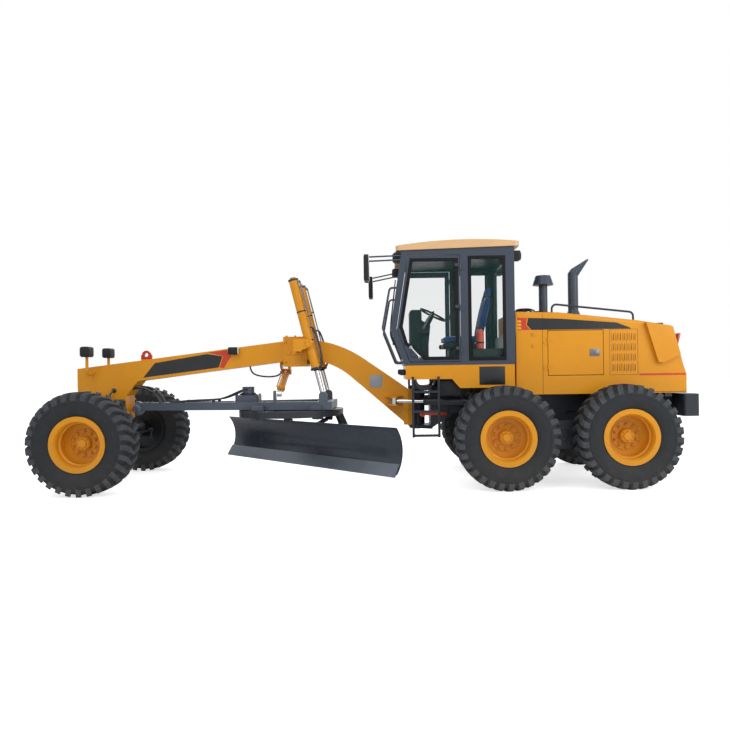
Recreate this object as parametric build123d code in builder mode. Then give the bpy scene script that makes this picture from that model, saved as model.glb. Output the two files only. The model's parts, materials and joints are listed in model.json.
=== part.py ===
"""Motor grader with an articulated frame: front frame, axle and blade gear, rear frame, cab, hood and tandems.

Millimetres. +X is forward, +Y is the machine's left and +Z is up. The origin is on the ground, under the
middle of the machine.
"""

import os
from math import atan2, cos, degrees, hypot, radians, sin

from build123d import *

# Running gear
wheel_base = 6160.0
tandem_pitch = 1538.0
track = 2156.0
tyre_radius = 662.0
tyre_width = 445.0
tread_depth = 36.0
lug_count = 30
lug_lag = 100.0
groove_middle, groove_end = 84.0, 60.0
rim_radius = 320.0
rim_flange_radius = 355.0
rim_half_width = 190.0
rim_wall = 18.0
hub_radius = 92.0
stub_radius = 50.0
running_clearance = 0.08
seat_gap = 0.3
moving_gap = 6.0
rear_overhang = 1862.0

length = wheel_base + tyre_radius + rear_overhang
axle_z = tyre_radius
front_axle_x = length / 2 - tyre_radius
tandem_x = front_axle_x - wheel_base
mid_wheel_x = tandem_x + tandem_pitch / 2
rear_wheel_x = tandem_x - tandem_pitch / 2
rear_end_x = -length / 2
wheel_y = track / 2

# Articulation between the rear frame and the front frame
hinge_x = -620.0
hinge_pin_radius = 45.0
tongue_radius = 112.0
tongue_low_z = 765.0
tongue_high_z = 1262.0
fork_plate = 50.0
cylinder_z = 1110.0
frame_pin_x, frame_pin_y = -295.0, 330.0
rear_pin_x, rear_pin_y = -1330.0, 560.0
ear_plate = 24.0
pin_radius = 28.0

# Front frame: an arched box beam
beam_half_width = 160.0
beam_depth = 285.0
nose_front_x = 4182.0
nose_top_z = 1619.0
nose_low_z = 905.0
nose_rear_x = 3500.0
beam_rise = 0.1198
crown_x = 1000.0
arch_rear_x = 620.0
frame_rear_x = -490.0
frame_rear_top_z = 1275.0
frame_rear_low_z = 752.0

# Front axle and steering
kingpin_y = 800.0
kingpin_radius = 26.0
post_radius = 48.0
post_half_height = 95.0
steer_arm = 180.0
ball_radius = 28.0
axle_half_depth = 80.0
axle_half_height = 72.0
axle_shoulder_y = 685.0
fork_ear_radius = 52.0
fork_ear_inner = 56.0
fork_ear_outer = 90.0
lean_pin_radius = 28.0
lean_bar_rise = 150.0
lever_wall = 30.0
tie_radius = 30.0
tie_bar_radius = 15.0
ball_post_radius = 16.0
yoke_width = 72.0
lever_width = 52.0

# Drawbar, circle and blade
ball_x, ball_z = 3395.0, 1040.0
circle_x = 1180.0
circle_radius = 740.0
circle_inner_radius = 610.0
circle_low_z, circle_high_z = 915.0, 1005.0
drawbar_low_z, drawbar_high_z = 1012.0, 1122.0
drawbar_beam = 110.0
drawbar_front_y, drawbar_rear_y = 75.0, 485.0
drawbar_rear_x = 560.0
blade_angle = 47.0
blade_length = 3660.0
blade_low_z, blade_high_z = 235.0, 825.0
blade_wall = 22.0
blade_radius = 430.0
blade_face_n = -57.0
blade_offset_u = 130.0
tip_n, tip_z = -290.0, 350.0
tip_pin_radius = 34.0
arm_u = 620.0
arm_wall = 60.0
carrier_u = 500.0
carrier_wall = 90.0
rail_end_u = 1150.0
rail_heights = (440.0, 640.0)
side_lug_u = 1250.0

# Cylinders
lift_y = 400.0
eye_radius = 46.0
eye_half = 36.0
lift_eye_x, lift_eye_z = 685.0, 1205.0
trunnion_x, trunnion_z = 862.0, 1925.0
lift_barrel_radius = 64.0
lift_rod_radius = 32.0
shift_x = 1300.0
shift_pivot_y, shift_pivot_z = -330.0, 1540.0
shift_eye_y, shift_eye_z = 330.0, 1235.0
shift_eye_half, shift_eye_radius = 32.0, 40.0
shift_post_gap = 18.0

# Cab
cab_half_width = 780.0
cab_wall = 50.0
cab_rear_x = -1900.0
cab_low_z = 1600.0
cab_high_z = 3150.0
cab_front_top_x = -412.0
cab_knee_x, cab_knee_z = -253.0, 2084.0
cab_front_low_x = -438.0
post_front_x, post_rear_x = -1185.0, -1285.0
glass_wall = 8.0
roof_wall = 85.0

# Hood
hood_half_width = 700.0
hood_front_x = -1925.0
hood_rear_x = -4190.0
hood_low_z = 1190.0
hood_front_z = 2300.0
hood_wall = 30.0

# Directions along the blade: u towards its rear left end, n forwards out of its hollow face
u_dir = (-sin(radians(blade_angle)), cos(radians(blade_angle)), 0.0)
n_dir = (cos(radians(blade_angle)), sin(radians(blade_angle)), 0.0)


# Shared helpers


def save(builder, name):
    builder.part.label = name
    export_step(builder.part, f"parts/{name}.step")


def blade_point(u, n, z):
    """The place that lies u along the blade and n in front of the circle's centre."""
    return (circle_x + u * u_dir[0] + n * n_dir[0], u * u_dir[1] + n * n_dir[1], z)


def blade_plane(u):
    """A plane across the blade at u, with n to its right and Z up, facing the blade's right end."""
    return Plane(origin=blade_point(u, 0, 0), x_dir=n_dir, z_dir=tuple(-c for c in u_dir))


def wheel_plane(x, side):
    """A plane through an axle line: radius to its right, outboard upwards."""
    return Plane(origin=(x, side * wheel_y, axle_z), x_dir=(side, 0, 0), z_dir=(0, 0, 1))


def side_plane(y):
    """The plane at y, with X to the right and Z up. Extruding from it goes towards -Y."""
    return Plane.XZ.offset(-y)


def tube_plane(start, end):
    """A plane across the line from start to end, at its start."""
    return Plane(origin=start, z_dir=tuple(e - s for s, e in zip(start, end)))


def rod(start, end, radius):
    """A round bar from start to end, added to the part being built."""
    with BuildSketch(tube_plane(start, end)) as section:
        Circle(radius)
    extrude(section.sketch, amount=(Vector(*end) - Vector(*start)).length)


def pipe(points, radius, bend):
    """A bent round tube along the points, added to the part being built."""
    with BuildLine() as route:
        FilletPolyline(*points, radius=bend)
    with BuildSketch(tube_plane(points[0], points[1])) as section:
        Circle(radius)
    sweep(section.sketch, path=route.wires()[0])


os.makedirs("parts", exist_ok=True)
sides = {"left": 1, "right": -1}


# Wheels: a dished steel rim and a deep-lugged tyre, alike on all six hubs
hub_front, hub_back = 28.0, -130.0
disc_front, disc_back = -44.0, -68.0
bore_end = 0.0
flange_wall = 16.0
dish_radius = 276.0
axle_rows = {"front": front_axle_x, "mid": mid_wheel_x, "rear": rear_wheel_x}

bead = rim_half_width - flange_wall - seat_gap
half = tyre_width / 2


def groove_plane(x, side, turn):
    """The plane at the bottom of a tread groove, square to the wheel's radius at that turn."""
    outward = Vector(sin(radians(turn)), 0, cos(radians(turn)))
    origin = Vector(x, side * wheel_y, axle_z) + outward * (tyre_radius - tread_depth)
    return Plane(origin=origin, x_dir=(-cos(radians(turn)), 0, sin(radians(turn))), z_dir=outward)


for row, row_x in axle_rows.items():
    for side_name, side in sides.items():
        plane = wheel_plane(row_x, side)
        axle_line = Axis(plane.origin, plane.y_dir)
        with BuildPart() as tyre:
            with BuildSketch(plane):
                with BuildLine():
                    low = rim_radius + seat_gap
                    Polyline((tyre_radius - tread_depth, -half + 14), (tyre_radius, -half + 50),
                             (tyre_radius, half - 50), (tyre_radius - tread_depth, half - 14))
                    ThreePointArc((tyre_radius - tread_depth, half - 14), (480, half), (rim_flange_radius + 2, bead))
                    Polyline((rim_flange_radius + 2, bead), (low, bead), (low, -bead), (rim_flange_radius + 2, -bead))
                    ThreePointArc((rim_flange_radius + 2, -bead), (480, -half), (tyre_radius - tread_depth, -half + 14))
                make_face()
            revolve(axis=axle_line)
            # grooves between the chevron lugs, open at both shoulders
            with BuildSketch(*(groove_plane(row_x, side, turn * 360 / lug_count) for turn in range(lug_count))):
                with BuildLine():
                    Polyline((groove_middle / 2, 0), (groove_end / 2 - lug_lag, half),
                             (-groove_end / 2 - lug_lag, half), (-groove_middle / 2, 0),
                             (-groove_end / 2 - lug_lag, -half), (groove_end / 2 - lug_lag, -half), close=True)
                make_face()
            extrude(amount=2 * tread_depth, mode=Mode.SUBTRACT)
        save(tyre, f"tyre_{row}_{side_name}")

        with BuildPart() as rim:
            with BuildSketch(plane):
                with BuildLine():
                    Polyline(
                        (0, bore_end), (0, hub_front), (hub_radius - 14, hub_front), (hub_radius, hub_front - 14),
                        (hub_radius, disc_front), (dish_radius, disc_front),
                        (dish_radius, rim_half_width - 30), (dish_radius + 16, rim_half_width),
                        (rim_flange_radius, rim_half_width), (rim_flange_radius, rim_half_width - flange_wall),
                        (rim_radius, rim_half_width - flange_wall), (rim_radius, flange_wall - rim_half_width),
                        (rim_flange_radius, flange_wall - rim_half_width), (rim_flange_radius, -rim_half_width),
                        (rim_radius - rim_wall, -rim_half_width), (rim_radius - rim_wall, disc_back),
                        (hub_radius, disc_back), (hub_radius, hub_back),
                        (stub_radius + running_clearance, hub_back), (stub_radius + running_clearance, bore_end),
                        close=True,
                    )
                make_face()
            revolve(axis=axle_line)
        save(rim, f"rim_{row}_{side_name}")


# Tandem drive: the final drive across the machine and a walking beam case on each side
case_inner_y, case_outer_y = 650.0, 840.0
case_half_height = 185.0
drum_radius = 150.0
drum_gap = 18.0
drive_tube_radius = 165.0
drive_ball_radius = 270.0

with BuildPart() as tandem:
    for side in sides.values():
        with BuildSketch(side_plane(case_outer_y if side > 0 else -case_inner_y)):
            with Locations((tandem_x, axle_z)):
                SlotCenterToCenter(tandem_pitch, 2 * case_half_height)
        extrude(amount=case_outer_y - case_inner_y)
        for row_x in (mid_wheel_x, rear_wheel_x):
            rod((row_x, side * case_inner_y, axle_z), (row_x, side * (wheel_y + hub_back - drum_gap), axle_z), drum_radius)
            rod((row_x, side * case_inner_y, axle_z), (row_x, side * (wheel_y + bore_end - 4), axle_z), stub_radius)
    rod((tandem_x, -case_outer_y, axle_z), (tandem_x, case_outer_y, axle_z), drive_tube_radius)
    with BuildSketch(Plane.XZ):
        with Locations((tandem_x, axle_z)):
            Circle(drive_ball_radius)
    extrude(amount=drive_ball_radius * 0.75, both=True)
save(tandem, "tandem_drive")


# Rear frame: two rails, cross boxes, the front box with its hinge fork, and the steering cylinder ears
rail_inner_y, rail_outer_y = 280.0, 380.0
rail_low_z, rail_high_z = 940.0, 1180.0
rail_front_x = -1060.0
rail_rear_x = rear_end_x + 215.0
box_half_width = 235.0
box_front_x = -800.0
cylinder_eye_half = 40.0

with BuildPart() as rear_frame:
    for side in sides.values():
        with BuildSketch(side_plane(max(side * rail_inner_y, side * rail_outer_y))):
            with BuildLine():
                Polyline((rail_front_x, rail_low_z), (rail_front_x, rail_high_z), (rail_rear_x, rail_high_z),
                         (rail_rear_x, rail_low_z + 60), (rear_wheel_x, rail_low_z), close=True)
            make_face()
        extrude(amount=rail_outer_y - rail_inner_y)
        for z in (cylinder_z - cylinder_eye_half - moving_gap - ear_plate, cylinder_z + cylinder_eye_half + moving_gap):
            with BuildSketch(Plane.XY.offset(z)):
                with BuildLine():
                    Polyline((rear_pin_x - 150, side * rail_inner_y), (rear_pin_x + 90, side * rail_inner_y),
                             (rear_pin_x + 48, side * rear_pin_y), (rear_pin_x - 48, side * rear_pin_y), close=True)
                make_face()
                with Locations((rear_pin_x, side * rear_pin_y)):
                    Circle(48)
            extrude(amount=ear_plate)
        rod((rear_pin_x, side * rear_pin_y, cylinder_z - 90), (rear_pin_x, side * rear_pin_y, cylinder_z + 90), pin_radius)
    for cross_x, cross_length in ((rail_front_x - 140, 140), (tandem_x - 160, 320), (rail_rear_x, 160)):
        with BuildSketch(Plane.XY.offset(rail_low_z + 70)):
            with Locations((cross_x + cross_length / 2, 0)):
                Rectangle(cross_length, 2 * rail_outer_y)
        extrude(amount=rail_high_z - rail_low_z - 70)
    with BuildSketch(side_plane(box_half_width)):
        with BuildLine():
            Polyline((box_front_x, tongue_low_z - 55), (box_front_x, tongue_high_z + 55),
                     (rail_front_x - 100, rail_high_z), (rail_front_x - 100, rail_low_z), close=True)
        make_face()
    extrude(amount=2 * box_half_width)
    for z in (tongue_low_z - moving_gap - fork_plate, tongue_high_z + moving_gap):
        with BuildSketch(Plane.XY.offset(z)):
            with BuildLine():
                Polyline((box_front_x - 30, box_half_width), (box_front_x, box_half_width), (hinge_x, tongue_radius),
                         (hinge_x, -tongue_radius), (box_front_x, -box_half_width), (box_front_x - 30, -box_half_width),
                         close=True)
            make_face()
            with Locations((hinge_x, 0)):
                Circle(tongue_radius)
        extrude(amount=fork_plate)
    rod((hinge_x, 0, tongue_low_z - moving_gap - fork_plate - 12),
        (hinge_x, 0, tongue_high_z + moving_gap + fork_plate + 12), hinge_pin_radius)
    # outriggers under the hood and posts under the cab floor
    for x in (-2050, -2950, -3950):
        with BuildSketch(Plane.XY.offset(rail_high_z - 40)):
            for side in sides.values():
                with Locations((x, side * (rail_outer_y + hood_half_width - 20) / 2)):
                    Rectangle(90, hood_half_width - rail_outer_y)
        extrude(amount=hood_low_z - seat_gap - rail_high_z + 40)
    for x in (-1250, -1800):
        for side in sides.values():
            with BuildSketch(Plane.XY.offset(rail_high_z - 10)):
                with Locations((x, side * (rail_inner_y + rail_outer_y) / 2)):
                    Rectangle(90, rail_outer_y - rail_inner_y)
            extrude(amount=1292 - seat_gap - rail_high_z + 10)
    # saddle blocks that clamp the rails to the drive tube
    for side in sides.values():
        with BuildSketch(side_plane(max(side * rail_inner_y, side * rail_outer_y))):
            with Locations((tandem_x, (axle_z + rail_low_z) / 2 + 60)):
                Rectangle(360, rail_low_z - axle_z + 120)
        extrude(amount=rail_outer_y - rail_inner_y)
        rod((tandem_x, side * (rail_inner_y - 1), axle_z), (tandem_x, side * (rail_outer_y + 1), axle_z),
            drive_tube_radius + 60)
    with BuildSketch(Plane.XZ):
        with Locations((tandem_x, axle_z)):
            Circle(drive_tube_radius + seat_gap)
    extrude(amount=rail_outer_y + 40, both=True, mode=Mode.SUBTRACT)
save(rear_frame, "rear_frame")


# Front frame: nose box, arched beam, hinge tongue and the ears of the articulation cylinders
fall_top = 0.70
fall_low = 0.88
apex_top_x = (nose_top_z + nose_front_x * beam_rise - frame_rear_top_z + frame_rear_x * fall_top) / (fall_top + beam_rise)
apex_top_z = frame_rear_top_z + (apex_top_x - frame_rear_x) * fall_top
low_line_z = nose_top_z - beam_depth
apex_low_x = (low_line_z + nose_front_x * beam_rise - frame_rear_low_z + frame_rear_x * fall_low) / (fall_low + beam_rise)
apex_low_z = frame_rear_low_z + (apex_low_x - frame_rear_x) * fall_low
arch_top_radius, arch_low_radius = 1500.0, 1030.0
gusset_x = 3330.0
gusset_z = low_line_z + (nose_front_x - gusset_x) * beam_rise
lug_wall = 40.0
lifting_x, lifting_z, lifting_half, lifting_bore = 3257.0, 1808.0, 20.0, 28.0
lamp_x, lamp_y, lamp_z = 3958.0, 350.0, 1851.0

with BuildPart() as front_frame:
    with BuildSketch(side_plane(beam_half_width)):
        with BuildLine():
            FilletPolyline((nose_front_x, nose_top_z), (apex_top_x, apex_top_z), (frame_rear_x, frame_rear_top_z),
                           radius=arch_top_radius)
            Line((frame_rear_x, frame_rear_top_z), (frame_rear_x, frame_rear_low_z))
            FilletPolyline((frame_rear_x, frame_rear_low_z), (apex_low_x, apex_low_z), (gusset_x, gusset_z),
                           radius=arch_low_radius)
            Polyline((gusset_x, gusset_z), (nose_rear_x, gusset_z - 210), (nose_rear_x, nose_low_z),
                     (nose_front_x - 260, nose_low_z), (nose_front_x, nose_low_z + 240), (nose_front_x, nose_top_z))
        make_face()
    extrude(amount=2 * beam_half_width)
    # hinge tongue
    with BuildSketch(Plane.XY.offset(tongue_low_z)):
        with BuildLine():
            Polyline((frame_rear_x + 60, beam_half_width), (frame_rear_x, beam_half_width), (hinge_x, tongue_radius),
                     (hinge_x, -tongue_radius), (frame_rear_x, -beam_half_width), (frame_rear_x + 60, -beam_half_width),
                     close=True)
        make_face()
        with Locations((hinge_x, 0)):
            Circle(tongue_radius)
            Circle(hinge_pin_radius + seat_gap, mode=Mode.SUBTRACT)
    extrude(amount=tongue_high_z - tongue_low_z)
    # articulation cylinder ears: the rod eye floats between the two plates
    for side in sides.values():
        for z in (cylinder_z - cylinder_eye_half - seat_gap - ear_plate, cylinder_z + cylinder_eye_half + seat_gap):
            with BuildSketch(Plane.XY.offset(z)):
                with BuildLine():
                    Polyline((frame_pin_x - 130, side * (beam_half_width - 20)),
                             (frame_pin_x + 130, side * (beam_half_width - 20)),
                             (frame_pin_x + 50, side * frame_pin_y), (frame_pin_x - 50, side * frame_pin_y), close=True)
                make_face()
                with Locations((frame_pin_x, side * frame_pin_y)):
                    Circle(50)
            extrude(amount=ear_plate)
    # axle pivot lugs under the nose with the oscillation pin
    for end in (1, -1):
        lug_x = front_axle_x + end * (axle_half_depth + seat_gap + lug_wall / 2)
        with BuildSketch(Plane.YZ.offset(lug_x - lug_wall / 2)):
            with Locations((0, nose_low_z - 75)):
                Rectangle(230, 170)
            with Locations((0, nose_low_z - 150)):
                Circle(95)
        extrude(amount=lug_wall)
    pin_half = axle_half_depth + lug_wall + 4
    rod((front_axle_x - pin_half, 0, nose_low_z - 150), (front_axle_x + pin_half, 0, nose_low_z - 150), 44)
    # lifting eye on the beam
    eye_base_z = nose_top_z + (nose_front_x - lifting_x) * beam_rise - 30
    with BuildSketch(side_plane(lifting_half)):
        with Locations((lifting_x, (eye_base_z + lifting_z) / 2)):
            Rectangle(150, lifting_z - eye_base_z)
        with Locations((lifting_x, lifting_z)):
            Circle(62)
            Circle(lifting_bore, mode=Mode.SUBTRACT)
    extrude(amount=2 * lifting_half)
    # head lamps on stalks from the nose's sides
    for side in sides.values():
        pipe(((lamp_x, side * (beam_half_width - 20), 1540), (lamp_x, side * lamp_y, 1540), (lamp_x, side * lamp_y, 1800)), 20, 60)
        with BuildSketch(Plane.XY.offset(lamp_z - 65)):
            with Locations((lamp_x, side * lamp_y)):
                RectangleRounded(110, 190, 25)
        extrude(amount=130)
    # drawbar ball stud on the nose's rear face
    rod((nose_rear_x + 40, 0, ball_z), (ball_x + 40, 0, ball_z), 48)
    with Locations((ball_x, 0, ball_z)):
        Sphere(62)
save(front_frame, "front_frame")


# Front axle: a box beam with a fork at each end, the lean posts, steering knuckles, lean bar and tie rod
axle_boss_z = nose_low_z - 150.0
lever_x = front_axle_x + fork_ear_outer + moving_gap
bar_x = lever_x + lever_wall + seat_gap
bar_half = 18.0
bar_z = axle_z + lean_bar_rise
tie_x = front_axle_x - steer_arm
lug_low, lug_high = post_half_height + moving_gap, post_half_height + 42.0
yoke_inner, yoke_outer = 108.0, 136.0
steer_barrel_x, steer_barrel_z = tie_x + 10.0, axle_z + 96.0

with BuildPart() as front_axle:
    with BuildSketch(Plane.YZ.offset(front_axle_x - axle_half_depth)):
        with BuildLine():
            Polyline(
                (axle_shoulder_y, axle_z + axle_half_height), (280, axle_z + 105), (105, axle_boss_z + 85),
                (-105, axle_boss_z + 85), (-280, axle_z + 105), (-axle_shoulder_y, axle_z + axle_half_height),
                (-axle_shoulder_y, axle_z - axle_half_height), (-300, axle_z - 95), (300, axle_z - 95),
                (axle_shoulder_y, axle_z - axle_half_height), close=True,
            )
        make_face()
        with Locations((0, axle_boss_z)):
            Circle(44 + running_clearance, mode=Mode.SUBTRACT)
    extrude(amount=2 * axle_half_depth)
    for side in sides.values():
        for end in (1, -1):
            near = front_axle_x + (fork_ear_inner if end > 0 else -fork_ear_outer)
            with BuildSketch(Plane.YZ.offset(near)):
                with Locations((side * (axle_shoulder_y + kingpin_y - 40) / 2, axle_z)):
                    Rectangle(kingpin_y - axle_shoulder_y + 40, 2 * fork_ear_radius)
                with Locations((side * kingpin_y, axle_z)):
                    Circle(fork_ear_radius)
                    Circle(lean_pin_radius + running_clearance, mode=Mode.SUBTRACT)
            extrude(amount=fork_ear_outer - fork_ear_inner)
        # the lower rear edge is cut back where the steering arm swings under it
        with BuildSketch(Plane.XY.offset(axle_z - 120)):
            with Locations((front_axle_x - axle_half_depth, side * (axle_shoulder_y - 50))):
                Rectangle(90, 240)
        extrude(amount=75, mode=Mode.SUBTRACT)
    # steering cylinder barrel on the axle's rear face
    rod((steer_barrel_x, -470, steer_barrel_z), (steer_barrel_x, 40, steer_barrel_z), 40)
    for y in (-440, -150):
        with BuildSketch(Plane.XY.offset(axle_z + 30)):
            with Locations(((steer_barrel_x + front_axle_x - axle_half_depth + 20) / 2 + 12, y)):
                Rectangle(front_axle_x - axle_half_depth - steer_barrel_x + 44, 40)
        extrude(amount=80)
    with BuildSketch(side_plane(45)):
        with Locations((steer_barrel_x, steer_barrel_z)):
            Circle(20 + seat_gap)
    extrude(amount=430, mode=Mode.SUBTRACT)
save(front_axle, "front_axle")

for side_name, side in sides.items():
    y = side * kingpin_y
    with BuildPart() as lean:
        rod((front_axle_x, y, axle_z - post_half_height), (front_axle_x, y, axle_z + post_half_height), post_radius)
        rod((front_axle_x, y, axle_z - lug_high), (front_axle_x, y, axle_z + lug_high), kingpin_radius)
        rod((front_axle_x - fork_ear_outer, y, axle_z), (lever_x + 1, y, axle_z), lean_pin_radius)
        with BuildSketch(Plane.YZ.offset(lever_x)):
            with Locations((y, axle_z + lean_bar_rise / 2)):
                Rectangle(lever_width, lean_bar_rise)
            with Locations((y, axle_z)):
                Circle(32)
            with Locations((y, bar_z)):
                Circle(lever_width / 2)
        extrude(amount=lever_wall)
    save(lean, f"lean_post_{side_name}")

    with BuildPart() as knuckle:
        for z in (axle_z + post_half_height + moving_gap, axle_z - lug_high):
            with BuildSketch(Plane.XY.offset(z)):
                with Locations((front_axle_x, y + side * yoke_outer / 2)):
                    Rectangle(yoke_width, yoke_outer)
                with Locations((front_axle_x, y)):
                    Circle(52)
                    Circle(kingpin_radius + running_clearance, mode=Mode.SUBTRACT)
            extrude(amount=lug_high - lug_low)
        with BuildSketch(Plane.XZ.offset(-(y + side * yoke_inner))):
            with Locations((front_axle_x, axle_z)):
                Rectangle(yoke_width, 2 * lug_high)
        extrude(amount=-side * (yoke_outer - yoke_inner))
        rod((front_axle_x, y + side * (yoke_outer - 4), axle_z),
            (front_axle_x, side * (wheel_y + bore_end - 4), axle_z), stub_radius)
        # steering arm: back from the lower lug and up to the ball
        with BuildSketch(Plane.XY.offset(axle_z - lug_high)):
            with Locations((front_axle_x - steer_arm / 2, y)):
                Rectangle(steer_arm, 50)
            with Locations((tie_x, y)):
                Circle(ball_radius)
        extrude(amount=lug_high - lug_low)
        rod((tie_x, y, axle_z - lug_low - 1), (tie_x, y, axle_z - tie_radius - seat_gap), ball_post_radius)
        with BuildSketch(Plane.XY.offset(axle_z - lug_high - 1)):
            with Locations((front_axle_x, y)):
                Circle(kingpin_radius + running_clearance)
        extrude(amount=lug_high - lug_low + 1, mode=Mode.SUBTRACT)
    save(knuckle, f"knuckle_{side_name}")

with BuildPart() as lean_bar:
    rod((bar_x + bar_half, -kingpin_y + 20, bar_z), (bar_x + bar_half, kingpin_y - 20, bar_z), bar_half - 3)
    for side in sides.values():
        rod((bar_x, side * kingpin_y, bar_z), (bar_x + 2 * bar_half, side * kingpin_y, bar_z), 32)
save(lean_bar, "lean_bar")

with BuildPart() as tie_rod:
    rod((tie_x, -kingpin_y + 10, axle_z), (tie_x, kingpin_y - 10, axle_z), tie_bar_radius)
    for side in sides.values():
        rod((tie_x - 36, side * kingpin_y, axle_z), (tie_x + 36, side * kingpin_y, axle_z), tie_radius)
    # steering cylinder rod and the clamp that ties it to the tie rod
    rod((steer_barrel_x, -200, steer_barrel_z), (steer_barrel_x, 330, steer_barrel_z), 20)
    with BuildSketch(side_plane(345)):
        with BuildLine():
            Polyline((tie_x - 32, axle_z - 30), (tie_x + 32, axle_z - 30), (steer_barrel_x + 28, steer_barrel_z + 28),
                     (steer_barrel_x - 28, steer_barrel_z + 28), close=True)
        make_face()
    extrude(amount=50)
save(tie_rod, "tie_rod")


# Drawbar: an A-frame from the nose ball back over the circle, with the shoes that carry the circle


def beam_edge(x):
    """How far the A-frame's outer edge is from the middle at x."""
    part = (ball_x - 45 - x) / (ball_x - 45 - drawbar_rear_x)
    return drawbar_front_y + part * (drawbar_rear_y - drawbar_front_y)


shoe_inner, shoe_leg, shoe_outer = 535.0, 600.0, 648.0
shoe_drop = 35.0

with BuildPart() as drawbar:
    with BuildSketch(Plane.XY.offset(drawbar_low_z)):
        with BuildLine():
            Polyline((ball_x - 45, drawbar_front_y), (drawbar_rear_x, drawbar_rear_y),
                     (drawbar_rear_x, -drawbar_rear_y), (ball_x - 45, -drawbar_front_y), close=True)
        make_face()
        for front_x, rear_x in ((2900, 2010), (1640, 780)):
            with BuildLine():
                Polyline((front_x, beam_edge(front_x) - drawbar_beam), (rear_x, beam_edge(rear_x) - drawbar_beam),
                         (rear_x, drawbar_beam - beam_edge(rear_x)), (front_x, drawbar_beam - beam_edge(front_x)),
                         close=True)
            make_face(mode=Mode.SUBTRACT)
    extrude(amount=drawbar_high_z - drawbar_low_z)
    for cross_x in (circle_x + 400, circle_x - 400):
        with BuildSketch(Plane.XY.offset(drawbar_low_z)):
            with Locations((cross_x, 0)):
                Rectangle(150, 980)
        extrude(amount=60)
    # shoes: a leg inside the ring and a foot under it
    for angle in (45, 135, 225, 315):
        turned = Plane(origin=(circle_x, 0, circle_low_z - seat_gap - shoe_drop),
                       x_dir=(cos(radians(angle)), sin(radians(angle)), 0), z_dir=(0, 0, 1))
        with BuildSketch(turned):
            with Locations(((shoe_inner + shoe_outer) / 2, 0)):
                Rectangle(shoe_outer - shoe_inner, 110)
        extrude(amount=shoe_drop)
        with BuildSketch(turned):
            with Locations(((shoe_inner + shoe_leg) / 2, 0)):
                Rectangle(shoe_leg - shoe_inner, 110)
        extrude(amount=drawbar_low_z - circle_low_z + shoe_drop + 40)
    # socket round the nose ball
    with Locations((ball_x, 0, ball_z)):
        Sphere(104)
        Sphere(62.4, mode=Mode.SUBTRACT)
    with BuildSketch(Plane.YZ.offset(ball_x + 14)):
        with Locations((0, ball_z)):
            Circle(110)
    extrude(amount=120, mode=Mode.SUBTRACT)
    for side in sides.values():
        rod((ball_x, side * 88, ball_z), (ball_x, side * 116, ball_z), 40)
    # circle drive gearbox and its motor
    with BuildSketch(Plane.XY.offset(drawbar_high_z - 1)):
        with Locations((1800, 0)):
            RectangleRounded(330, 300, 40)
    extrude(amount=90)
    rod((1800, 0, drawbar_high_z), (1800, 0, 1330), 85)
    # ears for the lift rods: each rod eye floats between two plates
    for side in sides.values():
        for y in (lift_y - eye_half - seat_gap, lift_y + eye_half + seat_gap + 24):
            with BuildSketch(side_plane(side * y + (24 if side < 0 else 0))):
                with Locations((lift_eye_x, (drawbar_high_z + lift_eye_z) / 2 - 10)):
                    Rectangle(110, lift_eye_z - drawbar_high_z + 20)
                with Locations((lift_eye_x, lift_eye_z)):
                    Circle(55)
            extrude(amount=24)
    # post for the centre-shift rod
    with BuildSketch(Plane.YZ.offset(shift_x + shift_eye_half + shift_post_gap)):
        with BuildLine():
            Polyline((shift_eye_y - 90, drawbar_high_z - 20), (shift_eye_y + 40, drawbar_high_z - 20),
                     (shift_eye_y + 45, shift_eye_z), (shift_eye_y - 45, shift_eye_z), close=True)
        make_face()
        with Locations((shift_eye_y, shift_eye_z)):
            Circle(45)
    extrude(amount=30)
save(drawbar, "drawbar")


# Circle: the turning ring with the two blade arms and the tip cylinder's bracket
tip_base_n, tip_base_z = -715.0, 830.0
tip_eye_n, tip_eye_z = -335.0, 700.0
tip_eye_half = 20.0

with BuildPart() as circle:
    with BuildSketch(Plane.XY.offset(circle_low_z)):
        with Locations((circle_x, 0)):
            Circle(circle_radius)
            Circle(circle_inner_radius, mode=Mode.SUBTRACT)
    extrude(amount=circle_high_z - circle_low_z)
    for side in sides.values():
        with BuildSketch(blade_plane(side * arm_u + arm_wall / 2)):
            with BuildLine():
                Polyline((-285, circle_low_z + 20), (-335, 850), (-430, 640), (-415, 450), (tip_n, tip_z + 62),
                         (tip_n, tip_z - 62), (tip_n - 120, tip_z - 30), (-540, 500), (-540, 700), (-400, circle_low_z + 20),
                         close=True)
            make_face()
            with Locations((tip_n, tip_z)):
                Circle(62)
                Circle(tip_pin_radius + running_clearance, mode=Mode.SUBTRACT)
        extrude(amount=arm_wall)
    for u in (-tip_eye_half - moving_gap - 20, tip_eye_half + moving_gap):
        with BuildSketch(blade_plane(u + 20)):
            with BuildLine():
                Polyline((-662, circle_low_z + 20), (tip_base_n + 33, tip_base_z), (tip_base_n - 33, tip_base_z),
                         (-735, circle_low_z + 20), close=True)
            make_face()
            with Locations((tip_base_n, tip_base_z)):
                Circle(34)
        extrude(amount=20)
    rod(blade_point(-60, tip_base_n, tip_base_z), blade_point(60, tip_base_n, tip_base_z), 20)
save(circle, "circle")


# Blade carrier: two slide blocks on a cross tube, hung from the arms, with the side-shift barrel
rail_head_n, rail_neck_n = -250.0, -220.0
cross_n, cross_z, cross_radius = -256.0, 704.0, 20.0
side_n, side_z = tip_n, 520.0
side_barrel_radius, side_rod_radius = 45.0, 24.0

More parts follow.
